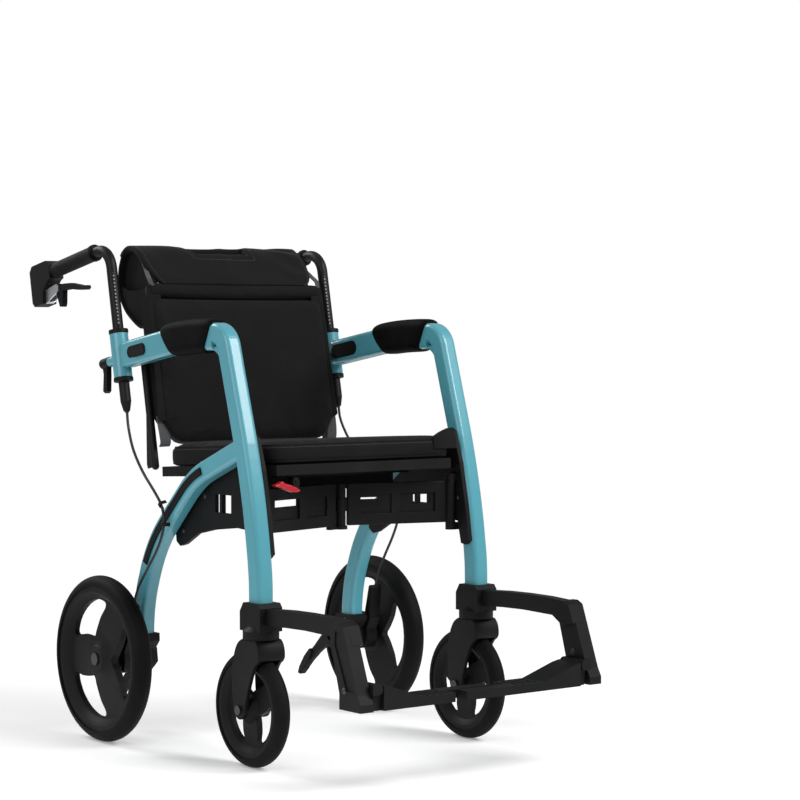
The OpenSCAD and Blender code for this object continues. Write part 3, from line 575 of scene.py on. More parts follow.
def squarish(steps, power):
    """The points of a rounded square that reaches 1 each way, with the angle of each."""
    points = []
    for step in range(steps):
        angle = 2 * math.pi * (step + 0.5) / steps
        c, q = math.cos(angle), math.sin(angle)
        points.append((math.copysign(abs(c) ** power, c), math.copysign(abs(q) ** power, q), angle))
    return points


def pillow_ring(inset, height):
    ring = []
    for c, q, angle in squarish(96, 0.2):
        draw = 1 - 0.010 * (1 - abs(math.sin(2 * angle)))
        ring.append(seat_at(cushion_mid[0] + (cushion_half[0] - inset) * c * draw,
                            cushion_mid[1] + (cushion_half[1] - inset) * q * draw, cushion_low + height))
    return ring


rings = [pillow_ring(inset, height) for inset, height in cushion_profile]
cushion = closed_skin("seat_cushion_cover", rings, cover_cloth)
puff(cushion, cloth_grid, 0.006)
cover_with(cushion, cover_cloth)
for vertex in cushion.data.vertices:
    spot = on_seat(vertex.co)
    spot.z = max(spot.z, cushion_low)
    vertex.co = seat_at(*spot)
finer(cushion)


def surface_of(mesh):
    return BVHTree.FromPolygons([v.co.copy() for v in mesh.vertices],
                                [tuple(p.vertices) for p in mesh.polygons])


cushion_skin = surface_of(cushion.data)


def edge_loop(height, away, steps=220):
    """A closed line round the cushion's side at one height, a little off its surface."""
    line = []
    for step in range(steps):
        angle = 2 * math.pi * step / steps
        c, q = math.cos(angle), math.sin(angle)
        reach = min(0.26 / max(abs(c), 1e-6), 0.22 / max(abs(q), 1e-6))
        start = seat_at(cushion_mid[0] + c * reach, cushion_mid[1] + q * reach, cushion_low + height)
        middle = seat_at(*cushion_mid, cushion_low + height)
        hit, normal, index, far = cushion_skin.ray_cast(start, (middle - start).normalized())
        line.append(hit + normal * away)
    return line


def welt(name, line, radius, material):
    """Closed piping: a thin tube round a closed line, as one plain mesh."""
    rings = []
    n = len(line)
    for i in range(n):
        ahead = (line[(i + 1) % n] - line[i - 1]).normalized()
        side_way = ahead.cross(Vector((0, 0, 1))).normalized()
        up = side_way.cross(ahead)
        spin = [math.pi * k / 4 for k in range(8)]
        rings.append([line[i] + radius * (math.cos(a) * side_way + math.sin(a) * up) for a in spin])
    faces = [tuple(v % (n * 8) for v in face) for face in skin_over(rings + rings[:1])]
    piece = mesh_piece(name, [p for ring in rings for p in ring], faces, material)
    face_outwards(piece)
    return piece


thread = Finish("sewing_thread", **{"Sheen Weight": 0.3})
twist = thread.node("ShaderNodeTexWave", {"bands_direction": "DIAGONAL"},
                    {"Vector": thread.place, "Scale": 700.0})
thread_grey = thread.surface(color=thread.mix(twist, (0.022, 0.022, 0.023), (0.055, 0.055, 0.057)),
                             roughness=0.6 + twist * 0.2, normal=thread.bump(twist, 0.3, 0.0002))


def wired(tree, kind, settings=(), **values):
    """Adds one geometry node, with its settings set first, then its values or links."""
    made = tree.nodes.new(kind)
    for name, value in dict(settings).items():
        setattr(made, name, value)
    for name, value in values.items():
        socket = made.inputs[name.replace("_", " ")]
        if isinstance(value, bpy.types.NodeSocket):
            tree.links.new(value, socket)
        else:
            socket.default_value = value
    return made


def stitch_tree():
    """Small threads laid end to end along a line: Pitch between them, and Length and Thickness of each."""
    tree = bpy.data.node_groups.new("stitches", "GeometryNodeTree")
    tree.interface.new_socket("Line", in_out="INPUT", socket_type="NodeSocketGeometry")
    for name in ("Pitch", "Length", "Thickness"):
        tree.interface.new_socket(name, in_out="INPUT", socket_type="NodeSocketFloat")
    tree.interface.new_socket("Thread", in_out="INPUT", socket_type="NodeSocketMaterial")
    tree.interface.new_socket("Stitches", in_out="OUTPUT", socket_type="NodeSocketGeometry")
    given = tree.nodes.new("NodeGroupInput").outputs
    curve = wired(tree, "GeometryNodeMeshToCurve", Mesh=given["Line"]).outputs[0]
    spots = wired(tree, "GeometryNodeResampleCurve", {"mode": "LENGTH"}, Curve=curve,
                  Length=given["Pitch"]).outputs[0]
    ball = wired(tree, "GeometryNodeMeshUVSphere", Segments=6, Rings=4, Radius=0.5).outputs["Mesh"]
    stretch = wired(tree, "ShaderNodeCombineXYZ", X=given["Length"], Y=given["Thickness"],
                    Z=given["Thickness"]).outputs[0]
    along = wired(tree, "GeometryNodeInputTangent").outputs[0]
    aim = wired(tree, "FunctionNodeAlignRotationToVector", {"axis": "X"}, Vector=along).outputs[0]
    laid = wired(tree, "GeometryNodeInstanceOnPoints", Points=spots, Instance=ball, Rotation=aim,
                 Scale=stretch).outputs[0]
    real = wired(tree, "GeometryNodeRealizeInstances", Geometry=laid).outputs[0]
    done = wired(tree, "GeometryNodeSetMaterial", Geometry=real, Material=given["Thread"]).outputs[0]
    tree.links.new(done, tree.nodes.new("NodeGroupOutput").inputs[0])
    return tree


stitching = stitch_tree()


def run_tree(piece, tree, **values):
    """Runs a geometry tree on a piece with its inputs set by name, and keeps the result as a plain mesh."""
    maker = piece.modifiers.new("tree", "NODES")
    maker.node_group = tree
    for item in tree.interface.items_tree:
        if item.in_out == "INPUT" and item.name in values:
            maker[item.identifier] = values[item.name]
    settle(piece)
    shade(piece, True)


def stitches(name, line, closed=False):
    count = len(line)
    mesh = bpy.data.meshes.new(name)
    edges = [(i, (i + 1) % count) for i in range(count if closed else count - 1)]
    mesh.from_pydata([tuple(p) for p in line], edges, [])
    piece = show(bpy.data.objects.new(name, mesh))
    run_tree(piece, stitching, Pitch=0.0042, Length=0.0033, Thickness=0.0009, Thread=thread_grey)
    return piece


seat_trim = [welt("seat_piping_top", edge_loop(0.0335, -0.0003), 0.0021, cover_cloth),
             welt("seat_piping_low", edge_loop(0.0045, -0.0003), 0.0018, cover_cloth),
             stitches("seat_stitches", edge_loop(0.0292, 0.0001), True)]
pull = [(0.150, 0.0), (0.166, 0.008), (0.184, 0.0145), (0.193, 0.013), (0.199, 0.006), (0.2025, -0.004),
        (0.203, -0.022), (0.151, -0.022)]
pull_z = cushion_low + 0.0385
front_y = min(on_seat(v.co).y for v in cushion.data.vertices)
pull_front = [seat_at(x - hinge_x, front_y - 0.0018, pull_z + z) for x, z in pull]
pull_rear = [seat_at(x - hinge_x, front_y + (0.0012 if z <= -0.02 else 0.0045), pull_z + z)
             for x, z in pull]
tab = closed_skin("seat_pull_tab", [pull_front, pull_rear], cover_cloth)
round_edges(tab, 0.0009, 2, 30)
settle(tab)
seat_trim.append(tab)
board_mid = tuple(seat_at(*cushion_mid, cushion_low))
for piece in [cushion] + seat_trim:
    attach(piece, "seat")
    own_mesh(piece)
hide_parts("seat_cushion")

# Back cushion: a padded panel over a narrow padded band, both closed sacks of the woven cover,
# strapped to the uprights. Places are in the frame of the leaning handle tubes.
def lean_at(x, t, w):
    """Place beside the handle clamps: leftwards, backwards across the tubes and up along them."""
    return Vector((x, axle_y + clamp_behind + t * math.cos(lean) + w * math.sin(lean),
                   clamp_z - t * math.sin(lean) + w * math.cos(lean)))


def sack(name, half, w_low, w_high, t_front, t_rear, round_by, cap, tuck=0.0):
    """A closed pad between two heights, with rounded edges, blown up as cloth."""
    mid_w, tall = (w_low + w_high) / 2, (w_high - w_low) / 2
    rings = []
    deep = t_rear - t_front
    for inset, depth in ((0.03, 0.0), (0.4 * round_by, 0.0), (0.12 * round_by, 0.1 * deep),
                         (0.0, 0.28 * deep), (0.0, 0.75 * deep), (0.15 * round_by, 0.92 * deep),
                         (0.5 * round_by, deep), (0.03, deep)):
        ring = []
        inset = min(inset, 0.7 * tall)
        wide = half - 0.009 * min(max((depth / deep - 0.55) / 0.15, 0), 1)
        for c, q, angle in squarish(120, 0.1):
            w = mid_w + (tall - inset) * q
            narrow = 1 - tuck * min(max((w_low + 0.045 - w) / 0.045, 0), 1)
            ring.append(lean_at((wide - inset) * narrow * c, t_front + depth, w))
        rings.append(ring)
    piece = closed_skin(name, rings, cover_cloth)
    puff(piece, cloth_grid, cap)
    cover_with(piece, cover_cloth)
    finer(piece)
    return piece


back_half = 0.1955
panel = sack("back_panel_cover", back_half, -0.1785, 0.0972, -0.0515, -0.0125, 0.008, 0.0042, tuck=0.13)
band = sack("back_band_cover", back_half - 0.001, 0.0992, 0.1240, -0.0500, -0.0125, 0.007, 0.0036)
lining = sack("back_lining", back_half - 0.012, -0.154, 0.1215, -0.036, -0.0135, 0.006, 0)

# Head flap: the top of the cover, quilted a finger thick. It leans back from the band and folds
# over the top, where a hand opening is cut below the fold and its hem is stitched.
flap_path = smooth_line([(-0.0435, 0.1215, 0), (-0.0410, 0.131, 0), (-0.0300, 0.1505, 0),
                         (-0.009, 0.1835, 0), (0.0075, 0.199, 0), (0.025, 0.2053, 0), (0.041, 0.201, 0),
                         (0.0495, 0.1935, 0)], 6)
flap_columns = 84
opening_rows = (19, 28)
opening_columns = (24, 56)
flap_half = 0.1885


def flap_at(i, j):
    """Place on the flap's middle sheet, i rows along its path and j columns from right to left."""
    share = i / (len(flap_path) - 1)
    rise = min(max((i - opening_rows[0]) / (opening_rows[1] - opening_rows[0]), 0), 1)
    first, last = -0.060 - 0.030 * rise, 0.064 - 0.004 * (1 - rise)
    half = flap_half - 0.003 * math.sin(math.pi * share) - 0.026 * max(0, 1 - share / 0.36) ** 1.2
    if j <= opening_columns[0]:
        x = -half + (first + half) * j / opening_columns[0]
    elif j <= opening_columns[1]:
        x = first + (last - first) * (j - opening_columns[0]) / (opening_columns[1] - opening_columns[0])
    else:
        x = last + (half - last) * (j - opening_columns[1]) / (flap_columns - opening_columns[1])
    t, w, _ = flap_path[i]
    ahead = (flap_path[min(i + 1, len(flap_path) - 1)] - flap_path[max(i - 1, 0)]).normalized()
    bow = math.sin(math.pi * share)
    crease = 0.0009 * math.sin(38 * x + 9 * share) * bow
    crease += 0.0022 * math.exp(-((x - 0.15) / 0.03) ** 2) * math.sin(26 * share + 55 * x) * bow
    crease += 0.0012 * math.exp(-((x + 0.02 - 0.05 * share) / 0.012) ** 2) * bow
    sink = 0.0045 * min(max((i - opening_rows[1] + 3) / 5, 0), 1) * max(0, 1 - ((x + 0.012) / 0.085) ** 8)
    return lean_at(x, t - ahead.y * crease, w + ahead.x * crease - sink)


flap_points = [flap_at(i, j) for i in range(len(flap_path)) for j in range(flap_columns + 1)]
flap_faces = []
for i in range(len(flap_path) - 1):
    for j in range(flap_columns):
        if not (opening_rows[0] <= i < opening_rows[1] and opening_columns[0] <= j < opening_columns[1]):
            a = i * (flap_columns + 1) + j
            flap_faces.append((a, a + 1, a + flap_columns + 2, a + flap_columns + 1))
flap = mesh_piece("head_flap", flap_points, flap_faces, cover_cloth)
quilt = flap.modifiers.new("quilt", "SOLIDIFY")
quilt.thickness = 0.0095
quilt.offset = 0
finer(flap)
face_outwards(flap)
flap_skin = surface_of(flap.data)
front_way = Vector((0, -math.cos(lean), math.sin(lean)))


def snap(skin_tree, line, away):
    """Lays a line on a surface, at the nearest point of each of its points."""
    laid = []
    for point in line:
        hit, normal, index, far = skin_tree.find_nearest(point)
        laid.append(hit + normal * away)
    return laid


hem = [flap_at(i, opening_columns[0] - 2) for i in range(opening_rows[1], opening_rows[0] - 2, -1)]
hem += [flap_at(opening_rows[0] - 2, j) for j in range(opening_columns[0] - 1, opening_columns[1] + 2)]
hem += [flap_at(i, opening_columns[1] + 2) for i in range(opening_rows[0] - 2, opening_rows[1])]
side_hem = [[flap_at(i, j) for i in range(2, len(flap_path) - 2)] for j in (2, flap_columns - 2)]
flap_trim = [stitches("flap_stitches", snap(flap_skin, [p + front_way * 0.012 for p in hem], 0.0001))]
for name, line in zip(("right_flap_stitches", "left_flap_stitches"), side_hem):
    flap_trim.append(stitches(name, snap(flap_skin, [p + front_way * 0.012 for p in line], 0.0001)))

# Straps and edges of the back: grey webbing at the lower corners and in a loop at each end of the
# fold, and in the cover's own cloth the end straps, wings, flap ends, boxing and hems.
web = Finish("grey_webbing", **{"Sheen Weight": 0.15})
ribs = web.node("ShaderNodeTexWave", {"bands_direction": "Z"},
                {"Vector": web.place, "Scale": 330.0, "Distortion": 0.4})
fuzz = web.noise(300, 3)
grey_web = web.surface(color=web.mix(ribs * 0.7 + fuzz * 0.3, (0.035, 0.037, 0.039), (0.085, 0.088, 0.092)),
                       roughness=0.7 + fuzz * 0.15, normal=web.bump(ribs, 0.5, 0.0004))
strap_edge = [(-1, -0.6), (-0.94, -1), (0.94, -1), (1, -0.6), (1, 0.6), (0.94, 1), (-0.94, 1), (-1, 0.6)]


def strap(name, line, width_way, width, thick, material):
    """A flat strap along a line, its breadth along width_way, with rounded edges."""
    rings = []
    for i, point in enumerate(line):
        ahead = (line[min(i + 1, len(line) - 1)] - line[max(i - 1, 0)]).normalized()
        across = (width_way - ahead * width_way.dot(ahead)).normalized()
        up = ahead.cross(across)
        rings.append([point + across * (width / 2 * a) + up * (thick / 2 * b) for a, b in strap_edge])
    return closed_skin(name, rings, material, smooth=False)


def slab(name, outline, low, high, place, material, edge=0.0):
    """A plate with rounded edges: an outline between two depths, put in its place by a function."""
    rings = [[place(a, b, depth) for a, b in outline] for depth in (low, high)]
    piece = closed_skin(name, rings, material, smooth=False)
    if edge:
        round_edges(piece, edge, 3, 40)
        settle(piece)
    return piece


def beside_back(k):
    """Places on one side of the back: backwards across the tubes, up along them and outwards."""
    def place(t, w, x):
        return lean_at(k * x, t, w)

    return place


def across_back(k):
    """Places across one half of the back: outwards, up along the tubes and backwards across them."""
    def place(x, w, t):
        return lean_at(k * x, t, w)

    return place


end_strap_path = [(0.047, 0.1955), (0.0545, 0.1855), (0.0625, 0.172), (0.0688, 0.1485), (0.0685, 0.1195),
                  (0.0545, 0.091), (0.030, 0.066), (0.0095, 0.0515), (-0.0074, 0.0485)]
end_strap_x = 0.1745
grey_loop_path = [(0.178, -0.012, 0.172), (0.181, -0.022, 0.158), (0.186, -0.035, 0.142),
                  (0.189, -0.045, 0.130), (0.187, -0.0485, 0.117)]
corner_path = [(0.1905, -0.0375, -0.124), (0.1902, -0.0385, -0.140), (0.189, -0.039, -0.158),
               (0.1875, -0.0375, -0.172), (0.187, -0.031, -0.1785)]
wing_edge = [(-0.022, 0.051), (0.008, 0.0555), (0.028, 0.0695), (0.051, 0.0935), (0.0655, 0.121),
             (0.066, 0.140), (0.045, 0.128), (0.020, 0.122), (-0.022, 0.1205)]
lobe_edge = [(-0.042, 0.119), (-0.039, 0.132), (-0.029, 0.150), (-0.009, 0.1815), (0.007, 0.196),
             (0.022, 0.2015), (0.036, 0.1985), (0.050, 0.191), (0.061, 0.174), (0.0683, 0.150),
             (0.0683, 0.128), (0.045, 0.120), (0.020, 0.116)]
boxing_edge = [(-0.046, 0.100), (-0.008, 0.100), (-0.008, -0.120), (-0.022, -0.138), (-0.040, -0.138)]
hem_edge = [(0.170, 0.1215), (0.1965, 0.1215), (0.1985, 0.090), (0.1995, 0.030), (0.2000, -0.040),
            (0.2005, -0.100), (0.2020, -0.129), (0.1950, -0.134), (0.170, -0.131)]
flat_edges = (("_side_wing", wing_edge, 0.1785, 0.1815, beside_back, 0.0),
              ("_flap_end", lobe_edge, 0.1690, 0.1720, beside_back, 0.0008),
              ("_side_boxing", boxing_edge, 0.1870, 0.1912, beside_back, 0.0012),
              ("_side_hem", hem_edge, -0.0475, -0.0435, across_back, 0.0012))
sideways = Vector((1, 0, 0))
back_straps = []
for side, k in sides:
    round_back = smooth_line([lean_at(k * end_strap_x, t, w) for t, w in end_strap_path], 5)
    back_straps.append(strap(side + "_end_strap", round_back, sideways, 0.024, 0.0045, cover_cloth))
    hoop = smooth_line([lean_at(k * x, t, w) for x, t, w in grey_loop_path], 5)
    back_straps.append(strap(side + "_grey_loop", hoop, Vector((0.8, -0.5, 0)), 0.008, 0.0018, grey_web))
    corner = smooth_line([lean_at(k * x, t, w) for x, t, w in corner_path], 4)
    back_straps.append(strap(side + "_corner_strap", corner, sideways, 0.022, 0.0024, grey_web))
    for name, edge, low, high, places, rounding in flat_edges:
        back_straps.append(slab(side + name, edge, low, high, places(k), cover_cloth, rounding))
for piece in [panel, band, lining, flap] + flap_trim + back_straps:
    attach(piece, "right_side")
    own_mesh(piece)
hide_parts("back_panel")

# Caster forks: each one moulding of black nylon, a hood over the tyre with two broad legs that
# run back to the axle. It is cut clear of the tyre all round, and its stem turns in the housing.
def carve(piece, operation, tool):
    """Adds a shape to a piece or cuts it out, and drops the shape."""
    cut = piece.modifiers.new("cut", "BOOLEAN")
    cut.operation = operation
    cut.solver = "EXACT"
    cut.object = tool
    settle(piece)
    bpy.data.objects.remove(tool)


def from_side(y, z, x):
    return Vector((x, y, z))


def ring_of(y, z, radius, steps):
    return [(y + radius * math.cos(2 * math.pi * i / steps),
             z + radius * math.sin(2 * math.pi * i / steps)) for i in range(steps)]


fork_edge = [(-47, 122), (-54, 115), (-58, 104), (-58.5, 93), (-55, 86), (-47, 80), (-38, 66), (-28, 42),
             (-19, 14), (-16, -3), (-10, -12.5), (0, -16), (10, -12.5), (15.5, -3), (19, 16), (22, 42),
             (22, 68), (17, 92), (10, 108), (2, 117), (-7, 122)]
caster_y, caster_z, caster_x = -0.2002, 0.100, rail_x
tyre_clearance = 0.104
fork_line = [(caster_y + p.x, caster_z + p.y)
             for p in smooth_line([Vector((u, v, 0)) / 1000 for u, v in fork_edge], 4)]
for side, k in sides:
    fork = slab(side + "_fork_hood", fork_line, k * caster_x - 0.0275, k * caster_x + 0.0275, from_side,
                nylon_black, 0.0035)
    inside = slab("clear_of_tyre", ring_of(caster_y, caster_z, tyre_clearance, 96), k * caster_x - 0.0205,
                  k * caster_x + 0.0205, from_side, nylon_black)
    carve(fork, "DIFFERENCE", inside)
    work = bmesh.new()
    work.from_mesh(fork.data)
    bmesh.ops.create_cone(work, cap_ends=True, segments=28, radius1=0.007, radius2=0.007, depth=0.050,
                          matrix=Matrix.Translation((k * caster_x, caster_y - 0.026, 0.243)))
    work.to_mesh(fork.data)
    work.free()
    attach(fork, side + "_caster")
    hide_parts(side + "_caster_fork")

# Wheel rims: moulded nylon with three dished spokes. They stand as the wheels were left, turned a
# little on their axles.
def turned_rim(name, body, degrees):
    low, high = (Vector(corner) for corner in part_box(name))
    work = bmesh.new()
    work.from_mesh(node[name].data)
    bmesh.ops.remove_doubles(work, verts=work.verts, dist=0.00002)
    bmesh.ops.rotate(work, cent=(low + high) / 2, matrix=Matrix.Rotation(math.radians(degrees), 3, "X"),
                     verts=work.verts)
    mesh = bpy.data.meshes.new(name + "_spokes")
    work.to_mesh(mesh)
    work.free()
    mesh.materials.append(nylon_black)
    rim = show(bpy.data.objects.new(name + "_spokes", mesh))
    round_edges(rim, 0.0012, 2, 32)
    settle(rim)
    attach(rim, body)
    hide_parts(name)


for side, k in sides:
    turned_rim(side + "_rear_rim", side + "_wheel", 60)
    turned_rim(side + "_caster_rim", side + "_caster_wheel", -30)

# Kerb levers: a nylon arm bolted inside each rear bracket, ending in a slim blade for the foot.
kerb_arm = [(-18, 14), (-4, 20), (14, 19), (27, 2), (54, -24), (82, -48), (99, -70), (104, -83), (98, -84),
            (86, -74), (68, -57), (44, -38), (16, -20), (-8, -24), (-22, -12)]
kerb_blade = [(58, -36), (66, -31), (84, -48), (100, -70), (105, -84), (97, -86), (84, -74), (68, -54)]
axle_z = 0.150
kerb_bore = 0.0103


def by_axle(points):
    return [(axle_y + a / 1000, axle_z + b / 1000) for a, b in points]


for side, k in sides:
    arm = slab(side + "_kerb_arm", by_axle(kerb_arm), k * 0.202, k * 0.214, from_side, nylon_black, 0.002)
    carve(arm, "UNION",
          slab("kerb_blade", by_axle(kerb_blade), k * 0.198, k * 0.213, from_side, nylon_black, 0.002))
    bore = ring_of(axle_y, axle_z, kerb_bore, 32)
    carve(arm, "DIFFERENCE", slab("kerb_bore", bore, k * 0.200, k * 0.216, from_side, nylon_black))
    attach(arm, side + "_side")
    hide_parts(side + "_kerb_lever")

# Release lever: a glossy red leaf for the finger, hung from a black hub on its pin under the
# right front corner of the seat board.
red = Finish("signal_red", **{"IOR": 1.5})
mottle = red.noise(60, 3)
signal_red = red.surface(color=red.mix(mottle, (0.42, 0.008, 0.018), (0.55, 0.013, 0.025)),
                         roughness=0.26 + mottle * 0.12, normal=red.bump(mottle, 0.08, 0.0003))


def under_seat(x, z, y):
    return seat_at(x - hinge_x, y, z)


def metres(points):
    return [(a / 1000, b / 1000) for a, b in points]


leaf_edge = [(-203, -21), (-194, -20), (-190, -16.5), (-186, -15.8), (-181, -20), (-170, -22.5),
             (-158, -27.5), (-149, -33), (-156, -35.5), (-166, -35), (-177, -31), (-188, -26.5),
             (-201, -24)]
hub_edge = [(-163, -12), (-160, -10.2), (-154, -10.2), (-150.5, -13), (-150, -20), (-153, -33), (-161, -33),
            (-164, -20)]
leaf = slab("release_leaf", metres(leaf_edge), -0.0905, -0.0775, under_seat, signal_red, 0.0017)
hub = slab("release_hub", metres(hub_edge), -0.0885, -0.0745, under_seat, nylon_black, 0.0012)
pin = ring_of(-0.157, -0.017, 0.00305, 24)
carve(hub, "DIFFERENCE", slab("pin_bore", pin, -0.095, -0.070, under_seat, nylon_black))
for piece, slot in ((leaf, "red_plastic"), (hub, "black_plastic")):
    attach(piece, "release")
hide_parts("release_lever")

# Stiffener of the seat board: a flange that hangs across its underside behind the fold panels.
flange = [(-182, -4), (-182, -30), (-174, -38), (158, -38), (166, -30), (166, -4)]
stiffener = slab("seat_stiffener", metres(flange), 0.060, 0.064, under_seat, nylon_black, 0.001)
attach(stiffener, "seat")

# Webs of the fold panels: thin walls moulded across the openings, with a slot left in each. A
# finger guard covers the gap at the middle hinge. The panels meet a little behind their outer hinges.
panel_x, panel_ahead, panel_z = 0.205, 0.366, 0.395
fold_turn = math.atan2(0.057, panel_x)
panel_webs = {"right": ((28, 99, 18, 43), (138, 177, 28, 51)),
              "left": ((28, 99, 18, 35), (73, 99, 34, 57), (28, 35, 34, 57), (34, 74, 52, 57),
                       (138, 177, 28, 46))}


def on_panel(k):
    """Places on one fold panel: along it from its outer hinge, up it and out of its front face."""
    def place(a, b, depth):
        return Vector((k * (panel_x - a * math.cos(fold_turn) - depth * math.sin(fold_turn)),
                       axle_y - panel_ahead + a * math.sin(fold_turn) - depth * math.cos(fold_turn),
                       panel_z + b))

    return place


def oblong_edge(a, b, low, high):
    return metres([(a, low), (b, low), (b, high), (a, high)])


for side, k in sides:
    for i, opening in enumerate(panel_webs[side]):
        wall = slab(side + "_panel_web_" + str(i), oblong_edge(*opening), -0.0065, -0.0035, on_panel(k),
                    nylon_black, 0.0005)
        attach(wall, side + "_panel")

finger_guard = slab("finger_guard", oblong_edge(184, 229, 0, 75), -0.0114, -0.0093, on_panel(-1),
                    nylon_black, 0.0006)
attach(finger_guard, "right_panel")

# Slot covers of the armrest rails: black oblong plates on both faces of each rail, ahead of
# the clamp. The cable leaves each handle tube through a tapered, bored ferrule, on a stiff
# guide that shows once the handle is drawn up.
oblong = [(sign * 0.0265 + 0.0135 * math.cos(math.radians(t)), 0.0135 * math.sin(math.radians(t)))
          for sign, first in ((1, -90), (-1, 90)) for t in range(first, first + 181, 15)]
outer_oblong = [(0.0075 + 0.78 * a, 0.78 * b) for a, b in oblong]
slot_plates = (("_inner_slot_cover", oblong, 0.2180, 0.2199),
               ("_outer_slot_cover", outer_oblong, 0.2520, 0.2530))
ferrule_profile = [(0.0031, -0.0967), (0.0056, -0.0967), (0.0054, -0.104), (0.0042, -0.1075),
                   (0.0037, -0.1098), (0.0031, -0.1098)]
guide_profile = [(0.0010, -0.0500), (0.0026, -0.0500), (0.0026, -0.1100), (0.0010, -0.1100)]
sleeves = (("_cable_ferrule", "_handle", ferrule_profile), ("_cable_guide", "_side", guide_profile))
for side, k in sides:
    def along_rail(a, b, x):
        spot, up = rail_at(-0.098 + a)
        return Vector((k * x, axle_y + spot.x + up.x * b, spot.y + up.y * b))

    for name, shape, low, high in slot_plates:
        cover = slab(side + name, shape, low, high, along_rail, nylon_black, 0.0004)
        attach(cover, side + "_side")
    for name, body, profile in sleeves:
        rings = [[lean_at(k * (clamp_x + a), b, w) for a, b in ring_of(0, 0, r, 24)] for r, w in profile]
        count = 24 * len(rings)
        walls = [tuple(v % count for v in face) for face in skin_over(rings + rings[:1])]
        sleeve = mesh_piece(side + name, [p for ring in rings for p in ring], walls, jacket_black)
        face_outwards(sleeve)
        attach(sleeve, side + body)

# Hook plates of the back uprights: a steel wedge welded behind the foot of each rod.
wedge = [(-0.016, -0.095), (-0.006, -0.092), (0.014, -0.205), (0.012, -0.213), (-0.016, -0.213)]
for side, k in sides:
    hook = slab(side + "_hook_plate", wedge, 0.1975, 0.2010, beside_back(k), powder_black, 0.0008)
    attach(hook, side + "_side")

# Screws: black button heads with a hexagon socket on a thin washer, where the plates, the
# brackets and the hinge pins are fixed. Each is set on the face that it holds.
def screw_tree():
    """One screw at each point, standing along the point's facing: Radius of its head, and its Steel."""
    tree = bpy.data.node_groups.new("screws", "GeometryNodeTree")
    tree.interface.new_socket("Places", in_out="INPUT", socket_type="NodeSocketGeometry")
    tree.interface.new_socket("Radius", in_out="INPUT", socket_type="NodeSocketFloat")
    tree.interface.new_socket("Steel", in_out="INPUT", socket_type="NodeSocketMaterial")
    tree.interface.new_socket("Screws", in_out="OUTPUT", socket_type="NodeSocketGeometry")
    given = tree.nodes.new("NodeGroupInput").outputs
    dome = wired(tree, "GeometryNodeMeshCone", Vertices=18, Side_Segments=1, Radius_Top=0.62,
                 Radius_Bottom=1.0, Depth=0.5).outputs["Mesh"]
    key = wired(tree, "GeometryNodeMeshCylinder", Vertices=6, Radius=0.4, Depth=0.6).outputs["Mesh"]
    raised = wired(tree, "GeometryNodeTransform", Geometry=key, Translation=(0, 0, 0.55)).outputs[0]
    head = wired(tree, "GeometryNodeMeshBoolean", {"operation": "DIFFERENCE"}, Mesh_1=dome,
                 Mesh_2=raised).outputs["Mesh"]
    washer = wired(tree, "GeometryNodeMeshCylinder", Vertices=18, Radius=1.25, Depth=0.16).outputs["Mesh"]
    whole = tree.nodes.new("GeometryNodeJoinGeometry")
    tree.links.new(head, whole.inputs[0])
    tree.links.new(washer, whole.inputs[0])
    facing = wired(tree, "GeometryNodeInputNamedAttribute", {"data_type": "FLOAT_VECTOR"},
                   Name="facing").outputs[0]
    aim = wired(tree, "FunctionNodeAlignRotationToVector", {"axis": "Z"}, Vector=facing).outputs[0]
    size = wired(tree, "ShaderNodeCombineXYZ", X=given["Radius"], Y=given["Radius"],
                 Z=given["Radius"]).outputs[0]
    spots = wired(tree, "GeometryNodeMeshToPoints", Mesh=given["Places"]).outputs[0]
    laid = wired(tree, "GeometryNodeInstanceOnPoints", Points=spots, Instance=whole.outputs[0],
                 Rotation=aim, Scale=size).outputs[0]
    real = wired(tree, "GeometryNodeRealizeInstances", Geometry=laid).outputs[0]
    done = wired(tree, "GeometryNodeSetMaterial", Geometry=real, Material=given["Steel"]).outputs[0]
    tree.links.new(done, tree.nodes.new("NodeGroupOutput").inputs[0])
    return tree


screwing = screw_tree()


def hit_on(name, start, way):
    """First point of a CAD node's surface along a line, and the way that the surface faces there."""
    spot, normal, index, far = surface_of(node[name].data).ray_cast(Vector(start), Vector(way))
    return (spot, normal) if spot else None


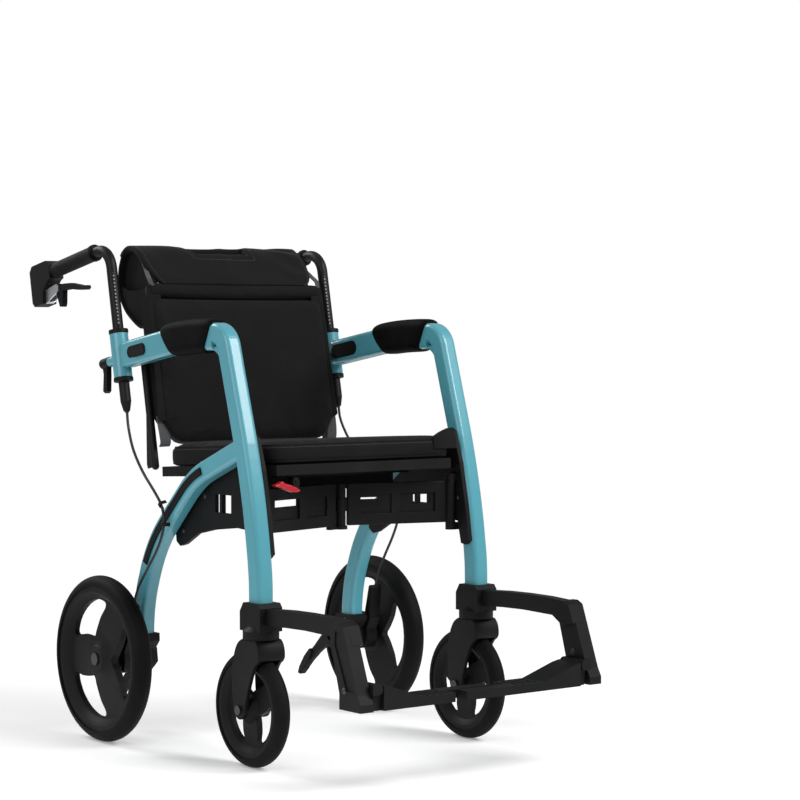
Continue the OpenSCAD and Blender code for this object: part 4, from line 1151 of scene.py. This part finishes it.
def screws(name, body, radius, found):
    found = [item for item in found if item]
    mesh = bpy.data.meshes.new(name)
    mesh.from_pydata([tuple(spot) for spot, normal in found], [], [])
    facing = mesh.attributes.new("facing", "FLOAT_VECTOR", "POINT")
    facing.data.foreach_set("vector", [c for spot, normal in found for c in normal])
    piece = show(bpy.data.objects.new(name, mesh))
    run_tree(piece, screwing, Radius=radius, Steel=zinc_plate)
    shade(piece, False)
    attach(piece, body)


gusset_screws = ((-0.353, 0.538), (-0.378, 0.440), (-0.135, 0.386), (-0.205, 0.452))
housing_screws = ((0.3352, 0.8159), (0.3057, 0.8574))
for side, k in sides:
    def from_outside(name, y, z):
        return hit_on(side + "_" + name, (k * 0.5, y + axle_y, z), (-k, 0, 0))

    def from_inside(name, y, z):
        return hit_on(side + "_" + name, (0, y + axle_y, z), (k, 0, 0))

    outer_places = [from_outside("gusset", y, z) for y, z in gusset_screws]
    inner_places = [from_inside("gusset", y, z) for y, z in gusset_screws[1:]]
    screws(side + "_plate_screws", side + "_side", 0.0042, outer_places + inner_places)
    screws(side + "_foot_screw", side + "_side", 0.0045,
           [from_outside("footrest", -0.668, 0.168), from_inside("footrest", -0.668, 0.19)])
    screws(side + "_bracket_screws", side + "_side", 0.0045,
           [from_inside("rear_bracket", -0.030, 0.182), from_inside("rear_bracket", 0.012, 0.172)])
    screws(side + "_head_screws", side + "_handle", 0.0026,
           [from_inside("lever_housing", y, z) for y, z in housing_screws])

# Cable clips: a black band that holds each cable to the long cover of the rear arch.
clip_bend = ((-1, -0.2), (-0.7, 0.0), (-0.55, 0.6), (0.0, 1.0), (0.55, 0.6), (0.7, 0.0), (1, -0.2))
for side, k in sides:
    for y, z, along_y, along_z in ((-0.128, 0.434, -0.77, -0.64), (-0.1385, 0.400, 0.05, -1.0)):
        across_way = Vector((0, -along_z, along_y)).normalized()
        middle = Vector((k * 0.2625, y + axle_y, z))
        found = hit_on(side + "_slot_covers", (k * 0.5, y + axle_y, z), (-k, 0, 0))
        floor_x = abs(found[0].x) if found else 0.2535
        band_line = [middle + across_way * (0.0072 * c) + Vector((k * (0.0035 * q), 0, 0))
                     for c, q in clip_bend]
        for end in (0, -1):
            band_line[end].x = k * (floor_x + 0.0008)
        clip = strap(side + "_cable_clip_" + str(int(z * 1000)), smooth_line(band_line, 4),
                     Vector((0, along_y, along_z)), 0.007, 0.0012, nylon_black)
        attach(clip, side + "_side")
